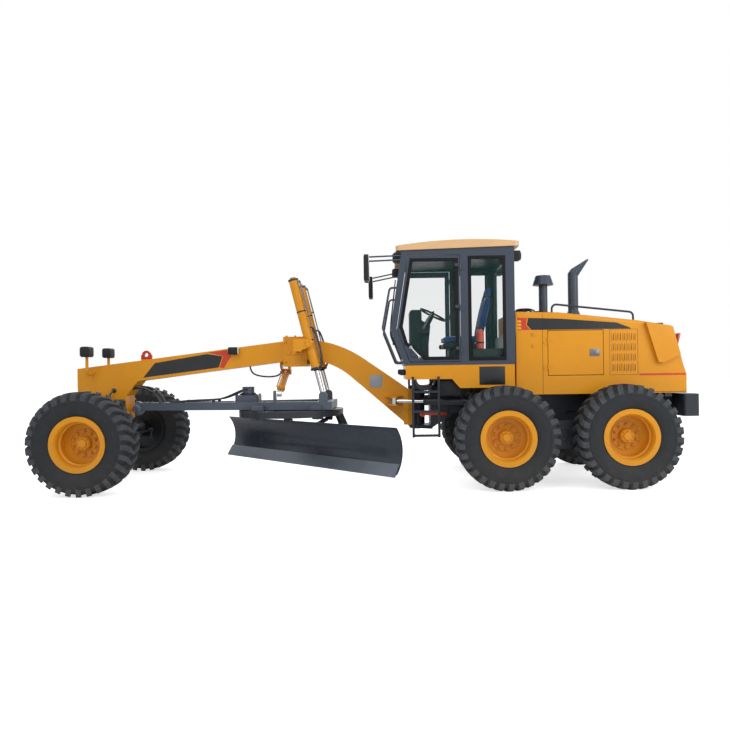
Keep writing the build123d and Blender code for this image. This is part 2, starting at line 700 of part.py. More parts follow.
with BuildPart() as carrier:
    for side in sides.values():
        with BuildSketch(blade_plane(side * carrier_u + carrier_wall / 2)):
            with BuildLine():
                Polyline((-206, 345), (-206, 700), (-240, 735), (-310, 735), (-345, 620), (-350, 330), (-300, 290),
                         (-250, 290), close=True)
            make_face()
            for z in rail_heights:
                with Locations((rail_head_n + 15, z)):
                    Rectangle(31, 61, mode=Mode.SUBTRACT)
                with Locations((rail_neck_n + 12, z)):
                    Rectangle(26, 29, mode=Mode.SUBTRACT)
        extrude(amount=carrier_wall)
    rod(blade_point(-carrier_u, tip_n, tip_z), blade_point(carrier_u, tip_n, tip_z), 42)
    rod(blade_point(-arm_u - 36, tip_n, tip_z), blade_point(arm_u + 36, tip_n, tip_z), tip_pin_radius)
    rod(blade_point(-carrier_u, cross_n, cross_z), blade_point(carrier_u, cross_n, cross_z), cross_radius)
    for u in (-tip_eye_half - seat_gap - 16, tip_eye_half + seat_gap):
        with BuildSketch(blade_plane(u + 16)):
            with Locations((-300, tip_eye_z)):
                Rectangle(70, 60)
            with Locations((tip_eye_n, tip_eye_z)):
                Circle(32)
        extrude(amount=16)
    rod(blade_point(-carrier_u - 60, side_n, side_z), blade_point(carrier_u + 60, side_n, side_z), side_barrel_radius)
    with BuildSketch(tube_plane(blade_point(-carrier_u - 40, side_n, side_z), blade_point(0, side_n, side_z))):
        Circle(side_rod_radius + seat_gap)
    extrude(amount=2 * carrier_u + 110, mode=Mode.SUBTRACT)
save(carrier, "blade_carrier")


# Moldboard: a hollow rolled plate with two slide rails on its back, and the bolted cutting edge
half_chord = (blade_high_z - blade_low_z) / 2
mid_blade_z = (blade_high_z + blade_low_z) / 2
roll_n = blade_face_n + (blade_radius**2 - half_chord**2) ** 0.5


def face_n(z, radius):
    """Where the rolled plate's surface of that radius is at height z."""
    return roll_n - (radius**2 - (z - mid_blade_z) ** 2) ** 0.5


with BuildPart() as moldboard:
    back = blade_radius + blade_wall
    with BuildSketch(blade_plane(blade_offset_u + blade_length / 2)):
        with BuildLine():
            ThreePointArc((face_n(blade_low_z, blade_radius), blade_low_z), (roll_n - blade_radius, mid_blade_z),
                          (face_n(blade_high_z, blade_radius), blade_high_z))
            Line((face_n(blade_high_z, blade_radius), blade_high_z), (face_n(blade_high_z, back), blade_high_z))
            ThreePointArc((face_n(blade_high_z, back), blade_high_z), (roll_n - back, mid_blade_z),
                          (face_n(blade_low_z, back), blade_low_z))
            Line((face_n(blade_low_z, back), blade_low_z), (face_n(blade_low_z, blade_radius), blade_low_z))
        make_face()
    extrude(amount=blade_length)
    with BuildSketch(blade_plane(rail_end_u)):
        for z in rail_heights:
            with Locations((rail_head_n + 15, z)):
                Rectangle(30, 60)
            with Locations(((rail_neck_n + face_n(z, back) + 8) / 2, z)):
                Rectangle(face_n(z, back) + 8 - rail_neck_n + 4, 28)
    extrude(amount=2 * rail_end_u)
    with BuildSketch(blade_plane(side_lug_u + 20)):
        with BuildLine():
            Polyline((face_n(600, back) + 12, 600), (face_n(440, back) + 12, 440), (side_n, side_z - 42),
                     (side_n, side_z + 42), close=True)
        make_face()
        with Locations((side_n, side_z)):
            Circle(42)
    extrude(amount=40)
    rod(blade_point(30, side_n, side_z), blade_point(side_lug_u, side_n, side_z), side_rod_radius)
save(moldboard, "moldboard")

edge_low_z, edge_high_z = 205.0, 352.0
edge_wall = 20.0
edge_slope = (face_n(edge_high_z, blade_radius) - face_n(blade_low_z, blade_radius)) / (edge_high_z - blade_low_z)
edge_low_n = face_n(blade_low_z, blade_radius) + (edge_low_z - blade_low_z) * edge_slope
edge_high_n = face_n(edge_high_z, blade_radius)
lay = hypot(1, edge_slope)
edge_out = (1 / lay, -edge_slope / lay)

with BuildPart() as cutting_edge:
    with BuildSketch(blade_plane(blade_offset_u + blade_length / 2)):
        with BuildLine():
            Polyline(*[(n + edge_out[0] * lift, z + edge_out[1] * lift) for n, z, lift in (
                (edge_low_n, edge_low_z, seat_gap), (edge_high_n, edge_high_z, seat_gap),
                (edge_high_n, edge_high_z, edge_wall), (edge_low_n, edge_low_z, edge_wall))], close=True)
        make_face()
    extrude(amount=blade_length)
save(cutting_edge, "cutting_edge")


# Saddle on the arch: it carries the trunnions of the lift cylinders and the centre-shift cylinder
saddle_front_x, saddle_rear_x = 1258.0, 930.0
saddle_wall = 45.0
bearing_inner = lift_barrel_radius + moving_gap
bearing_wall = 30.0
trunnion_pin = 30.0

with BuildPart() as saddle:
    for side in sides.values():
        near = beam_half_width + seat_gap
        with BuildSketch(side_plane(side * near + (saddle_wall if side > 0 else 0))):
            with BuildLine():
                Polyline((saddle_rear_x, 2010), (saddle_front_x, 2010), (saddle_front_x, 1640), (saddle_rear_x, 1640),
                         close=True)
            make_face()
        extrude(amount=saddle_wall)
        # a bracket ahead of the barrel and a bearing plate on each side of it
        with BuildSketch(side_plane(max(side * near, side * (lift_y + bearing_inner + bearing_wall)))):
            with Locations((saddle_rear_x + 87, trunnion_z - 25)):
                Rectangle(110, 170)
        extrude(amount=lift_y + bearing_inner + bearing_wall - near)
        for y in (lift_y - bearing_inner - bearing_wall, lift_y + bearing_inner):
            with BuildSketch(side_plane(max(side * y, side * (y + bearing_wall)))):
                with BuildLine():
                    Polyline((saddle_rear_x + 90, trunnion_z - 110), (saddle_rear_x + 90, trunnion_z + 60),
                             (trunnion_x, trunnion_z + 60), (trunnion_x, trunnion_z - 60), close=True)
                make_face()
                with Locations((trunnion_x, trunnion_z)):
                    Circle(60)
                    Circle(trunnion_pin + running_clearance, mode=Mode.SUBTRACT)
            extrude(amount=bearing_wall)
    # strap over the beam
    with BuildSketch(Plane.XY.offset(1994)):
        with Locations(((saddle_front_x + saddle_rear_x) / 2, 0)):
            Rectangle(saddle_front_x - saddle_rear_x, 2 * (beam_half_width + seat_gap + saddle_wall))
    extrude(amount=38)
    # tie plate under the beam with the ears of the centre-shift barrel
    with BuildSketch(Plane.XY.offset(1610)):
        with Locations(((saddle_front_x + saddle_rear_x) / 2, 0)):
            Rectangle(saddle_front_x - saddle_rear_x, 2 * (beam_half_width + seat_gap + saddle_wall))
    extrude(amount=32)
    for x in (shift_x - 40 - moving_gap - 24, shift_x + 40 + moving_gap):
        with BuildSketch(Plane.YZ.offset(x)):
            with BuildLine():
                Polyline((-160, 1642), (-206, 1720), (-260, 1720), (shift_pivot_y - 45, shift_pivot_z),
                         (shift_pivot_y + 45, shift_pivot_z), (-160, 1612), close=True)
            make_face()
            with Locations((shift_pivot_y, shift_pivot_z)):
                Circle(45)
        extrude(amount=24)
    with BuildSketch(Plane.YZ.offset(saddle_front_x - 40)):
        with Locations((-210, 1675)):
            Rectangle(90, 80)
    extrude(amount=shift_x + 70 - saddle_front_x + 40)
    rod((shift_x - 68, shift_pivot_y, shift_pivot_z), (shift_x + 68, shift_pivot_y, shift_pivot_z), pin_radius)
save(saddle, "saddle")


# Hydraulic cylinders: each barrel is bored to let its rod slide in


def barrel(start, end, radius, bore, bore_from, neck):
    """A round barrel from start to end, bored from bore_from to its open end, with a neck behind it."""
    way = (Vector(*end) - Vector(*start)).normalized()
    rod(tuple(Vector(*start) - way * neck), tuple(Vector(*start) + way * 10), bore + 8)
    rod(start, end, radius)
    rod(tuple(Vector(*end) - way * 30), end, radius + 6)
    inner = Vector(*start) + way * bore_from
    with BuildSketch(tube_plane(tuple(inner), tuple(Vector(*end) + way * 5))) as section:
        Circle(bore + seat_gap)
    extrude(section.sketch, amount=(Vector(*end) - inner).length + 5, mode=Mode.SUBTRACT)


def eye(at, along, half, radius, bore):
    """A round eye that lies half to each side of a place along an axis, with an optional bore."""
    step = Vector(*along).normalized() * half
    rod(tuple(Vector(*at) - step), tuple(Vector(*at) + step), radius)
    if bore:
        with BuildSketch(tube_plane(tuple(Vector(*at) - step * 1.2), tuple(Vector(*at) + step))) as section:
            Circle(bore)
        extrude(section.sketch, amount=half * 2.4, mode=Mode.SUBTRACT)


def along_line(start, end, distance):
    """The place that lies a distance from start towards end."""
    way = (Vector(*end) - Vector(*start)).normalized()
    return tuple(Vector(*start) + way * distance)


lift_rise, lift_fall = 915.0, 375.0
for side_name, side in sides.items():
    pivot = (trunnion_x, side * lift_y, trunnion_z)
    end = (lift_eye_x, side * lift_y, lift_eye_z)
    reach = hypot(lift_eye_x - trunnion_x, lift_eye_z - trunnion_z)
    with BuildPart() as lift_barrel:
        barrel(along_line(pivot, end, -lift_rise), along_line(pivot, end, lift_fall), lift_barrel_radius,
               lift_rod_radius, 40, 20)
        for out in (1, -1):
            rod((trunnion_x, side * lift_y + out * (lift_rod_radius + 10), trunnion_z),
                (trunnion_x, side * lift_y + out * (bearing_inner + bearing_wall), trunnion_z), trunnion_pin)
    save(lift_barrel, f"lift_barrel_{side_name}")
    with BuildPart() as lift_rod:
        rod(along_line(pivot, end, -600), along_line(pivot, end, reach - 20), lift_rod_radius)
        eye(end, (0, 1, 0), eye_half, eye_radius, 0)
    save(lift_rod, f"lift_rod_{side_name}")

    base = (rear_pin_x, side * rear_pin_y, cylinder_z)
    tip = (frame_pin_x, side * frame_pin_y, cylinder_z)
    reach = hypot(frame_pin_x - rear_pin_x, frame_pin_y - rear_pin_y)
    with BuildPart() as turn_barrel:
        barrel(along_line(base, tip, 75), along_line(base, tip, 640), 50, 26, 20, 45)
        eye(base, (0, 0, 1), cylinder_eye_half, eye_radius, pin_radius + running_clearance)
    save(turn_barrel, f"articulation_barrel_{side_name}")
    with BuildPart() as turn_rod:
        rod(along_line(base, tip, 360), along_line(base, tip, reach - 20), 26)
        eye(tip, (0, 0, 1), cylinder_eye_half, eye_radius, 0)
    save(turn_rod, f"articulation_rod_{side_name}")

shift_base = (shift_x, shift_pivot_y, shift_pivot_z)
shift_tip = (shift_x, shift_eye_y, shift_eye_z)
shift_reach = hypot(shift_eye_y - shift_pivot_y, shift_eye_z - shift_pivot_z)
with BuildPart() as shift_barrel:
    barrel(along_line(shift_base, shift_tip, 75), along_line(shift_base, shift_tip, 572), 48, 26, 10, 45)
    eye(shift_base, (1, 0, 0), 40, eye_radius, pin_radius + running_clearance)
save(shift_barrel, "shift_barrel")
with BuildPart() as shift_rod:
    rod(along_line(shift_base, shift_tip, 198), along_line(shift_base, shift_tip, shift_reach - 20), 26)
    eye(shift_tip, (1, 0, 0), shift_eye_half, shift_eye_radius, 0)
save(shift_rod, "shift_rod")

tip_base = blade_point(0, tip_base_n, tip_base_z)
tip_end = blade_point(0, tip_eye_n, tip_eye_z)
tip_reach = hypot(tip_eye_n - tip_base_n, tip_eye_z - tip_base_z)
with BuildPart() as tip_barrel:
    barrel(along_line(tip_base, tip_end, 48), along_line(tip_base, tip_end, 285), 32, 16, 12, 26)
    eye(tip_base, u_dir, tip_eye_half, 32, 20 + running_clearance)
save(tip_barrel, "tip_barrel")
with BuildPart() as tip_rod:
    rod(along_line(tip_base, tip_end, 160), along_line(tip_base, tip_end, tip_reach - 15), 16)
    eye(tip_end, u_dir, tip_eye_half, 28, 0)
save(tip_rod, "tip_rod")


# Cab floor: deck, skirt and the ladder on each side
floor_front_x, floor_rear_x = -450.0, -1890.0
skirt_half = 775.0
skirt_wall = 25.0
skirt_low_z, skirt_step_z = 1413.0, 1292.0
ladder_front_x, ladder_rear_x = -538.0, -874.0
ladder_y = 865.0
ladder_low_z, ladder_high_z = 655.0, 1450.0
floor_z = cab_low_z - seat_gap

with BuildPart() as cab_floor:
    with BuildSketch(side_plane(skirt_half)):
        with BuildLine():
            Polyline((floor_front_x, floor_z), (floor_rear_x, floor_z), (floor_rear_x, skirt_step_z),
                     (-1164, skirt_step_z), (-1059, skirt_low_z), (floor_front_x, skirt_low_z), close=True)
        make_face()
    extrude(amount=2 * skirt_half)
    with BuildSketch(side_plane(skirt_half - skirt_wall)):
        with BuildLine():
            Polyline((floor_front_x - skirt_wall, floor_z - 40), (floor_rear_x + skirt_wall, floor_z - 40),
                     (floor_rear_x + skirt_wall, skirt_step_z - 10), (floor_front_x - skirt_wall, skirt_step_z - 10),
                     close=True)
        make_face()
    extrude(amount=2 * (skirt_half - skirt_wall), mode=Mode.SUBTRACT)
    for side in sides.values():
        for x in (ladder_front_x, ladder_rear_x):
            rod((x, side * ladder_y, ladder_low_z), (x, side * ladder_y, ladder_high_z), 17)
            rod((x, side * (skirt_half - 5), ladder_high_z - 22), (x, side * ladder_y, ladder_high_z - 22), 13)
        for z in (ladder_low_z + 24, 993, 1252):
            with BuildSketch(Plane.XY.offset(z - 14)):
                with Locations(((ladder_front_x + ladder_rear_x) / 2, side * ladder_y)):
                    Rectangle(ladder_front_x - ladder_rear_x, 60)
            extrude(amount=28)
    # inner ends of the cross beams that sit on the rear frame's posts
    for x in (-1250, -1800):
        with BuildSketch(Plane.XY.offset(skirt_step_z)):
            with Locations((x, 0)):
                Rectangle(90, 2 * skirt_half - 20)
        extrude(amount=60)
save(cab_floor, "cab_floor")


# Cab frame: posts, sills and headers round the openings, with lamps, grab rails and mirrors
cab_front_top_z, cab_rear_top_z = 3120.0, 3160.0
door_gap = 8.0
door_rear_x = post_front_x + door_gap
door_low_z, door_high_z = 1640.0, 3055.0
opening = ((-490, door_high_z), (-335, cab_knee_z), (-500, door_low_z), (post_front_x, door_low_z), (post_front_x, door_high_z))
side_window = ((-1307, 3015), (-1307, 1675), (-1760, 1675), (-1760, 3015))
hinge_rows = (1800.0, 2350.0, 2900.0)
door_hinge_x = post_front_x + door_gap / 2
door_hinge_y = cab_half_width + 14.0
hinge_radius, hinge_pin = 13.0, 6.0

with BuildPart() as cab_frame:
    with BuildSketch(side_plane(cab_half_width)):
        with BuildLine():
            Polyline((cab_front_top_x, cab_front_top_z), (cab_knee_x, cab_knee_z), (cab_front_low_x, cab_low_z),
                     (cab_rear_x, cab_low_z), (cab_rear_x, cab_rear_top_z), close=True)
        make_face()
    extrude(amount=2 * cab_half_width)
    with BuildSketch(side_plane(cab_half_width - cab_wall)):
        with BuildLine():
            Polyline((cab_front_top_x - cab_wall, cab_front_top_z - 60), (cab_knee_x - cab_wall, cab_knee_z),
                     (cab_front_low_x - cab_wall, cab_low_z - 1), (cab_rear_x + cab_wall, cab_low_z - 1),
                     (cab_rear_x + cab_wall, cab_rear_top_z - 60), close=True)
        make_face()
    extrude(amount=2 * (cab_half_width - cab_wall), mode=Mode.SUBTRACT)
    with BuildSketch(side_plane(cab_half_width + 5)):
        with BuildLine():
            Polyline(*opening, close=True)
        make_face()
        with BuildLine():
            Polyline(*side_window, close=True)
        make_face()
    extrude(amount=2 * cab_half_width + 10, mode=Mode.SUBTRACT)
    # front and rear window openings
    for x, low, high, half in ((cab_front_top_x - 200, 1690, 3040, 705), (cab_rear_x - 10, 2000, 3030, 620)):
        with BuildSketch(Plane.YZ.offset(x)):
            with Locations((0, (low + high) / 2)):
                Rectangle(2 * half, high - low)
        extrude(amount=500 if x > -1000 else 100, mode=Mode.SUBTRACT)
    for side in sides.values():
        for z in hinge_rows:
            rod((door_hinge_x, side * door_hinge_y, z - 40), (door_hinge_x, side * door_hinge_y, z), hinge_radius)
            rod((door_hinge_x, side * door_hinge_y, z - 1), (door_hinge_x, side * door_hinge_y, z + 38), hinge_pin)
            with BuildSketch(Plane.XY.offset(z - 40)):
                with Locations((door_hinge_x - 30, side * (cab_half_width + 3))):
                    Rectangle(60, 16)
            extrude(amount=40)
        for x, z in ((cab_front_top_x + 56, 3035), (cab_rear_x - 40, 3040)):
            with BuildSketch(Plane.XY.offset(z - 60)):
                with Locations((x, side * 690)):
                    Rectangle(92, 150)
            extrude(amount=120)
        pipe(((-370, side * 755, 2630), (-250, side * 755, 2630), (-150, side * 755, 2100), (-330, side * 755, 1640),
              (-440, side * 755, 1640)), 14, 45)
        for z in (3060, 3005):
            rod((-440, side * 740, z), (45, side * 1000, z - 60), 11)
        with BuildSketch(Plane.XY.offset(2680)):
            with Locations((45, side * 1000)):
                RectangleRounded(60, 200, 25)
        extrude(amount=340)
save(cab_frame, "cab_frame")

roof_front_x, roof_rear_x = -334.0, -1969.0
top_slope = (cab_rear_top_z - cab_front_top_z) / (cab_rear_x - cab_front_top_x)


def cab_top_z(x):
    """The height of the cab's top edge at x."""
    return cab_front_top_z + (x - cab_front_top_x) * top_slope


with BuildPart() as cab_roof:
    with BuildSketch(side_plane(cab_half_width + 25)):
        with BuildLine():
            Polyline((roof_front_x, cab_top_z(roof_front_x) + 60), (roof_front_x, cab_top_z(roof_front_x) + seat_gap),
                     (roof_rear_x, cab_top_z(roof_rear_x) + seat_gap), (roof_rear_x, cab_top_z(roof_rear_x) + 60))
            ThreePointArc((roof_rear_x, cab_top_z(roof_rear_x) + 60), (-1200, cab_top_z(-1200) + 110),
                          (roof_front_x, cab_top_z(roof_front_x) + 60))
        make_face()
    extrude(amount=2 * cab_half_width + 50)
    fillet(cab_roof.edges().filter_by(Axis.Z), 60)
save(cab_roof, "cab_roof")

# Glass set in the cab's openings
with BuildPart() as glass_front:
    with BuildSketch(side_plane(705 - seat_gap)):
        with BuildLine():
            Polyline((cab_front_top_x - 20, cab_front_top_z), (cab_knee_x - 20, cab_knee_z),
                     (cab_front_low_x - 20, cab_low_z), (cab_front_low_x - 29, cab_low_z), (cab_knee_x - 29, cab_knee_z),
                     (cab_front_top_x - 29, cab_front_top_z), close=True)
        make_face()
    extrude(amount=2 * (705 - seat_gap))
    for z in (cab_low_z - 50, 3040 - seat_gap):
        with BuildSketch(Plane.XY.offset(z)):
            with Locations((-400, 0)):
                Rectangle(800, 2000)
        extrude(amount=140 + seat_gap, mode=Mode.SUBTRACT)
save(glass_front, "glass_front")

with BuildPart() as glass_rear:
    with BuildSketch(Plane.YZ.offset(cab_rear_x + 20)):
        with Locations((0, 2515)):
            Rectangle(2 * (620 - seat_gap), 1030 - 2 * seat_gap)
    extrude(amount=glass_wall)
save(glass_rear, "glass_rear")

door_shape = ((-498, door_high_z - door_gap), (-344, cab_knee_z), (-508, door_low_z + door_gap),
              (door_rear_x, door_low_z + door_gap), (door_rear_x, door_high_z - door_gap))
door_window = ((-540, 2990), (-395, 2110), (-460, 1890), (-705, 1690), (-1135, 1690), (-1135, 2990))
door_wall = 45.0

for side_name, side in sides.items():
    outer = side * cab_half_width
    with BuildPart() as glass_side:
        with BuildSketch(side_plane(max(side * (cab_half_width - 28), side * (cab_half_width - 20)))):
            with Locations(((-1307 - 1760) / 2, (3015 + 1675) / 2)):
                Rectangle(453 - 2 * seat_gap, 1340 - 2 * seat_gap)
        extrude(amount=glass_wall)
    save(glass_side, f"glass_side_{side_name}")

    with BuildPart() as cab_door:
        with BuildSketch(side_plane(max(outer, outer - side * door_wall))):
            with BuildLine():
                Polyline(*door_shape, close=True)
            make_face()
            with BuildLine():
                Polyline(*door_window, close=True)
            make_face(mode=Mode.SUBTRACT)
        extrude(amount=door_wall)
        for z in hinge_rows:
            rod((door_hinge_x, side * door_hinge_y, z + seat_gap), (door_hinge_x, side * door_hinge_y, z + 40), hinge_radius)
            with BuildSketch(Plane.XY.offset(z + seat_gap)):
                with Locations((door_hinge_x + 35, side * (cab_half_width + 5))):
                    Rectangle(60, 14)
            extrude(amount=40 - seat_gap)
            with BuildSketch(Plane.XY.offset(z - 1)):
                with Locations((door_hinge_x, side * door_hinge_y)):
                    Circle(hinge_pin + running_clearance)
            extrude(amount=45, mode=Mode.SUBTRACT)
        # outside handle on the lower front panel
        with BuildSketch(side_plane(max(outer, outer + side * 30))):
            with Locations((-560, 1740)):
                RectangleRounded(70, 34, 10)
        extrude(amount=30)
    save(cab_door, f"cab_door_{side_name}")

    with BuildPart() as door_glass:
        with BuildSketch(side_plane(max(outer - side * 18, outer - side * (18 + glass_wall)))):
            with BuildLine():
                Polyline(*door_window, close=True)
            make_face()
            offset(amount=-seat_gap, mode=Mode.REPLACE)
        extrude(amount=glass_wall)
    save(door_glass, f"door_glass_{side_name}")

# Seat and the steering console
with BuildPart() as seat:
    with BuildSketch(Plane.XY.offset(cab_low_z)):
        with Locations((-1280, 0)):
            RectangleRounded(420, 400, 60)
    extrude(amount=300)
    with BuildSketch(Plane.XY.offset(cab_low_z + 290)):
        with Locations((-1260, 0)):
            RectangleRounded(540, 520, 80)
    extrude(amount=130)
    with BuildSketch(side_plane(250)):
        with BuildLine():
            Polyline((-1450, cab_low_z + 330), (-1560, cab_low_z + 330), (-1720, cab_low_z + 1020),
                     (-1620, cab_low_z + 1020), close=True)
        make_face()
    extrude(amount=500)
save(seat, "seat")

with BuildPart() as console:
    with BuildSketch(side_plane(170)):
        with BuildLine():
            Polyline((-560, cab_low_z), (-760, cab_low_z), (-820, cab_low_z + 560), (-700, cab_low_z + 640), close=True)
        make_face()
    extrude(amount=340)
    rod((-760, 0, cab_low_z + 520), (-860, 0, cab_low_z + 720), 30)
    wheel_at = Plane(origin=(-860, 0, cab_low_z + 715), x_dir=(0, 1, 0), z_dir=(-0.447, 0, 0.894))
    with BuildSketch(wheel_at):
        Circle(200)
        Circle(172, mode=Mode.SUBTRACT)
        Rectangle(360, 36)
    extrude(amount=26)
save(console, "console")


# Hood, its doors, the engine in it, the stacks on it, and the counterweight
hood_profile = ((hood_front_x, hood_low_z), (hood_front_x, hood_front_z), (-2505, 2284), (-3570, 2163), (-4010, 2089),
                (-4150, 1560), (hood_rear_x, 1434), (hood_rear_x, hood_low_z))
hood_door_front, hood_door_rear = -2345.0, -3091.0
hood_door_low, hood_door_high = 1437.0, 2044.0
hood_hinge_x = hood_door_front - door_gap / 2
hood_hinge_y = hood_half_width + 12.0
hood_hinges = (1560.0, 1900.0)
exhaust_x, cleaner_x, stack_y = -2819.0, -2400.0, 250.0
exhaust_radius, cleaner_radius = 70.0, 60.0
exhaust_bend_z, exhaust_lip_z, exhaust_top_z = 2860.0, 2893.0, 3019.0
exhaust_foot_radius, exhaust_foot_high = 104.0, 84.0


def hood_top_z(x):
    """The height of the hood's top at x, ahead of its tail."""
    (ax, az), (bx, bz), (cx, cz) = hood_profile[1:4]
    if x > bx:
        return bz + (x - bx) * (az - bz) / (ax - bx)
    return cz + (x - cx) * (bz - cz) / (bx - cx)


with BuildPart() as hood:
    with BuildSketch(side_plane(hood_half_width)):
        with BuildLine():
            Polyline(*hood_profile, close=True)
        make_face()
    extrude(amount=2 * hood_half_width)
    long_edges = [e for e in hood.edges() if abs(e.center().Y) > hood_half_width - 1 and e.center().Z > 2080]
    fillet(long_edges, 45)
    with BuildSketch(side_plane(hood_half_width - hood_wall)):
        with BuildLine():
            Polyline((hood_front_x - hood_wall, hood_low_z - 1), (hood_front_x - hood_wall, hood_front_z - 50),
                     (-2505, 2234), (-3570, 2113), (-3970, 2046), (-4110, 1560), (-4150, 1434), (-4150, hood_low_z - 1),
                     close=True)
        make_face()
    extrude(amount=2 * (hood_half_width - hood_wall), mode=Mode.SUBTRACT)
    with BuildSketch(side_plane(hood_half_width + 5)):
        with Locations(((hood_door_front + hood_door_rear) / 2, (hood_door_low + hood_door_high) / 2)):
            Rectangle(hood_door_front - hood_door_rear, hood_door_high - hood_door_low)
    extrude(amount=2 * hood_half_width + 10, mode=Mode.SUBTRACT)
    for side in sides.values():
        for z in hood_hinges:
            rod((hood_hinge_x, side * hood_hinge_y, z - 36), (hood_hinge_x, side * hood_hinge_y, z), hinge_radius - 2)
            rod((hood_hinge_x, side * hood_hinge_y, z - 1), (hood_hinge_x, side * hood_hinge_y, z + 34), hinge_pin)
            with BuildSketch(Plane.XY.offset(z - 36)):
                with Locations((hood_hinge_x + 28, side * (hood_half_width + 3))):
                    Rectangle(56, 14)
            extrude(amount=36)
        # side scoop at the tail
        with BuildSketch(side_plane(max(side * (hood_half_width - 20), side * (hood_half_width + 55)))):
            with BuildLine():
                Polyline((-3640, 2130), (-3995, 2070), (-4095, 1700), (-3870, 1590), (-3800, 1600), close=True)
            make_face()
        extrude(amount=75)
        # handrail along the top
        y = side * 560
        pipe(((-2440, y, hood_top_z(-2440) - 40), (-2440, y, hood_top_z(-2440) + 120), (-3540, y, hood_top_z(-3540) + 115),
              (-3540, y, hood_top_z(-3540) - 40)), 14, 60)
    # the stacks pass through the top
    with BuildSketch(Plane.XY.offset(2100)):
        with Locations((exhaust_x, stack_y)):
            Circle(exhaust_radius + seat_gap)
        with Locations((cleaner_x, stack_y)):
            Circle(cleaner_radius + seat_gap)
    extrude(amount=300, mode=Mode.SUBTRACT)
save(hood, "hood")

for side_name, side in sides.items():
    outer = side * hood_half_width
    with BuildPart() as hood_door:
        with BuildSketch(side_plane(max(outer, outer - side * 25))):
            with Locations(((hood_door_front + hood_door_rear) / 2, (hood_door_low + hood_door_high) / 2)):
                Rectangle(hood_door_front - hood_door_rear - 2 * door_gap, hood_door_high - hood_door_low - 2 * door_gap)
        extrude(amount=25)
        for z in hood_hinges:
            rod((hood_hinge_x, side * hood_hinge_y, z + seat_gap), (hood_hinge_x, side * hood_hinge_y, z + 36), hinge_radius - 2)
            with BuildSketch(Plane.XY.offset(z + seat_gap)):
                with Locations((hood_hinge_x - 32, side * (hood_half_width + 4))):
                    Rectangle(56, 12)
            extrude(amount=36 - seat_gap)
            with BuildSketch(Plane.XY.offset(z - 1)):
                with Locations((hood_hinge_x, side * hood_hinge_y)):
                    Circle(hinge_pin + running_clearance)
            extrude(amount=42, mode=Mode.SUBTRACT)
    save(hood_door, f"hood_door_{side_name}")

with BuildPart() as engine:
    with BuildSketch(Plane.XY.offset(rail_high_z + seat_gap)):
        with Locations((-2700, 0)):
            Rectangle(1000, 560)
    extrude(amount=620)
    with BuildSketch(Plane.XY.offset(rail_high_z + seat_gap + 619)):
        with Locations((-2700, 0)):
            Rectangle(860, 340)
    extrude(amount=180)
    rod((-3190, 0, 1550), (-3330, 0, 1550), 320)
    with BuildSketch(Plane.XY.offset(rail_high_z + seat_gap)):
        with Locations((-3700, 0)):
            Rectangle(200, 1100)
    extrude(amount=800)
    rod((-3300, 0, 1500), (-3650, 0, 1500), 60)
save(engine, "engine")

with BuildPart() as exhaust:
    low = hood_top_z(exhaust_x) - 80
    rod((exhaust_x, stack_y, low), (exhaust_x, stack_y, exhaust_bend_z), exhaust_radius)
    rod((exhaust_x, stack_y, exhaust_bend_z - 20), (exhaust_x - 160, stack_y, exhaust_bend_z + 220), exhaust_radius)
    # flared foot on the hood
    foot_z = hood_top_z(exhaust_x + exhaust_foot_radius) + seat_gap
    with Locations((exhaust_x, stack_y, foot_z + exhaust_foot_high / 2)):
        Cone(exhaust_foot_radius, exhaust_radius, exhaust_foot_high)
    # the top is cut on a slant, and the pipe is open there
    with BuildSketch(side_plane(stack_y + 2 * exhaust_radius)):
        with BuildLine():
            Polyline((exhaust_x + exhaust_radius, exhaust_lip_z), (exhaust_x - 140, exhaust_top_z),
                     (exhaust_x - 400, exhaust_top_z + 160), (exhaust_x + 200, exhaust_top_z + 160), close=True)
        make_face()
    extrude(amount=4 * exhaust_radius, mode=Mode.SUBTRACT)
    with BuildSketch(tube_plane((exhaust_x, stack_y, exhaust_bend_z - 20),
                                (exhaust_x - 160, stack_y, exhaust_bend_z + 220))):
        Circle(exhaust_radius - 8)
    extrude(amount=400, mode=Mode.SUBTRACT)
save(exhaust, "exhaust")

with BuildPart() as air_cleaner:
    rod((cleaner_x, stack_y, hood_top_z(cleaner_x) - 80), (cleaner_x, stack_y, 2720), cleaner_radius)
    with BuildSketch(Plane.XY.offset(2700)):
        with Locations((cleaner_x, stack_y)):
            Circle(145)
    extrude(amount=130, taper=18)
save(air_cleaner, "air_cleaner")

tow_z, tow_bore = 1026.0, 26.0

with BuildPart() as counterweight:
    with BuildSketch(Plane.XY.offset(878)):
        with Locations(((rear_end_x + rail_rear_x - seat_gap) / 2, 0)):
            RectangleRounded(rail_rear_x - seat_gap - rear_end_x, 1500, 40)
    extrude(amount=296)
    # towing jaw with its pin hole
    with BuildSketch(Plane.YZ.offset(rear_end_x)):
        with Locations((0, tow_z)):
            Rectangle(150, 96)
    extrude(amount=140, mode=Mode.SUBTRACT)
    with BuildSketch(Plane.XY.offset(870)):
        with Locations((rear_end_x + 70, 0)):
            Circle(tow_bore)
    extrude(amount=320, mode=Mode.SUBTRACT)
save(counterweight, "counterweight")
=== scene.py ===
import json
import math

import bmesh
import bpy
from mathutils import Matrix, Vector


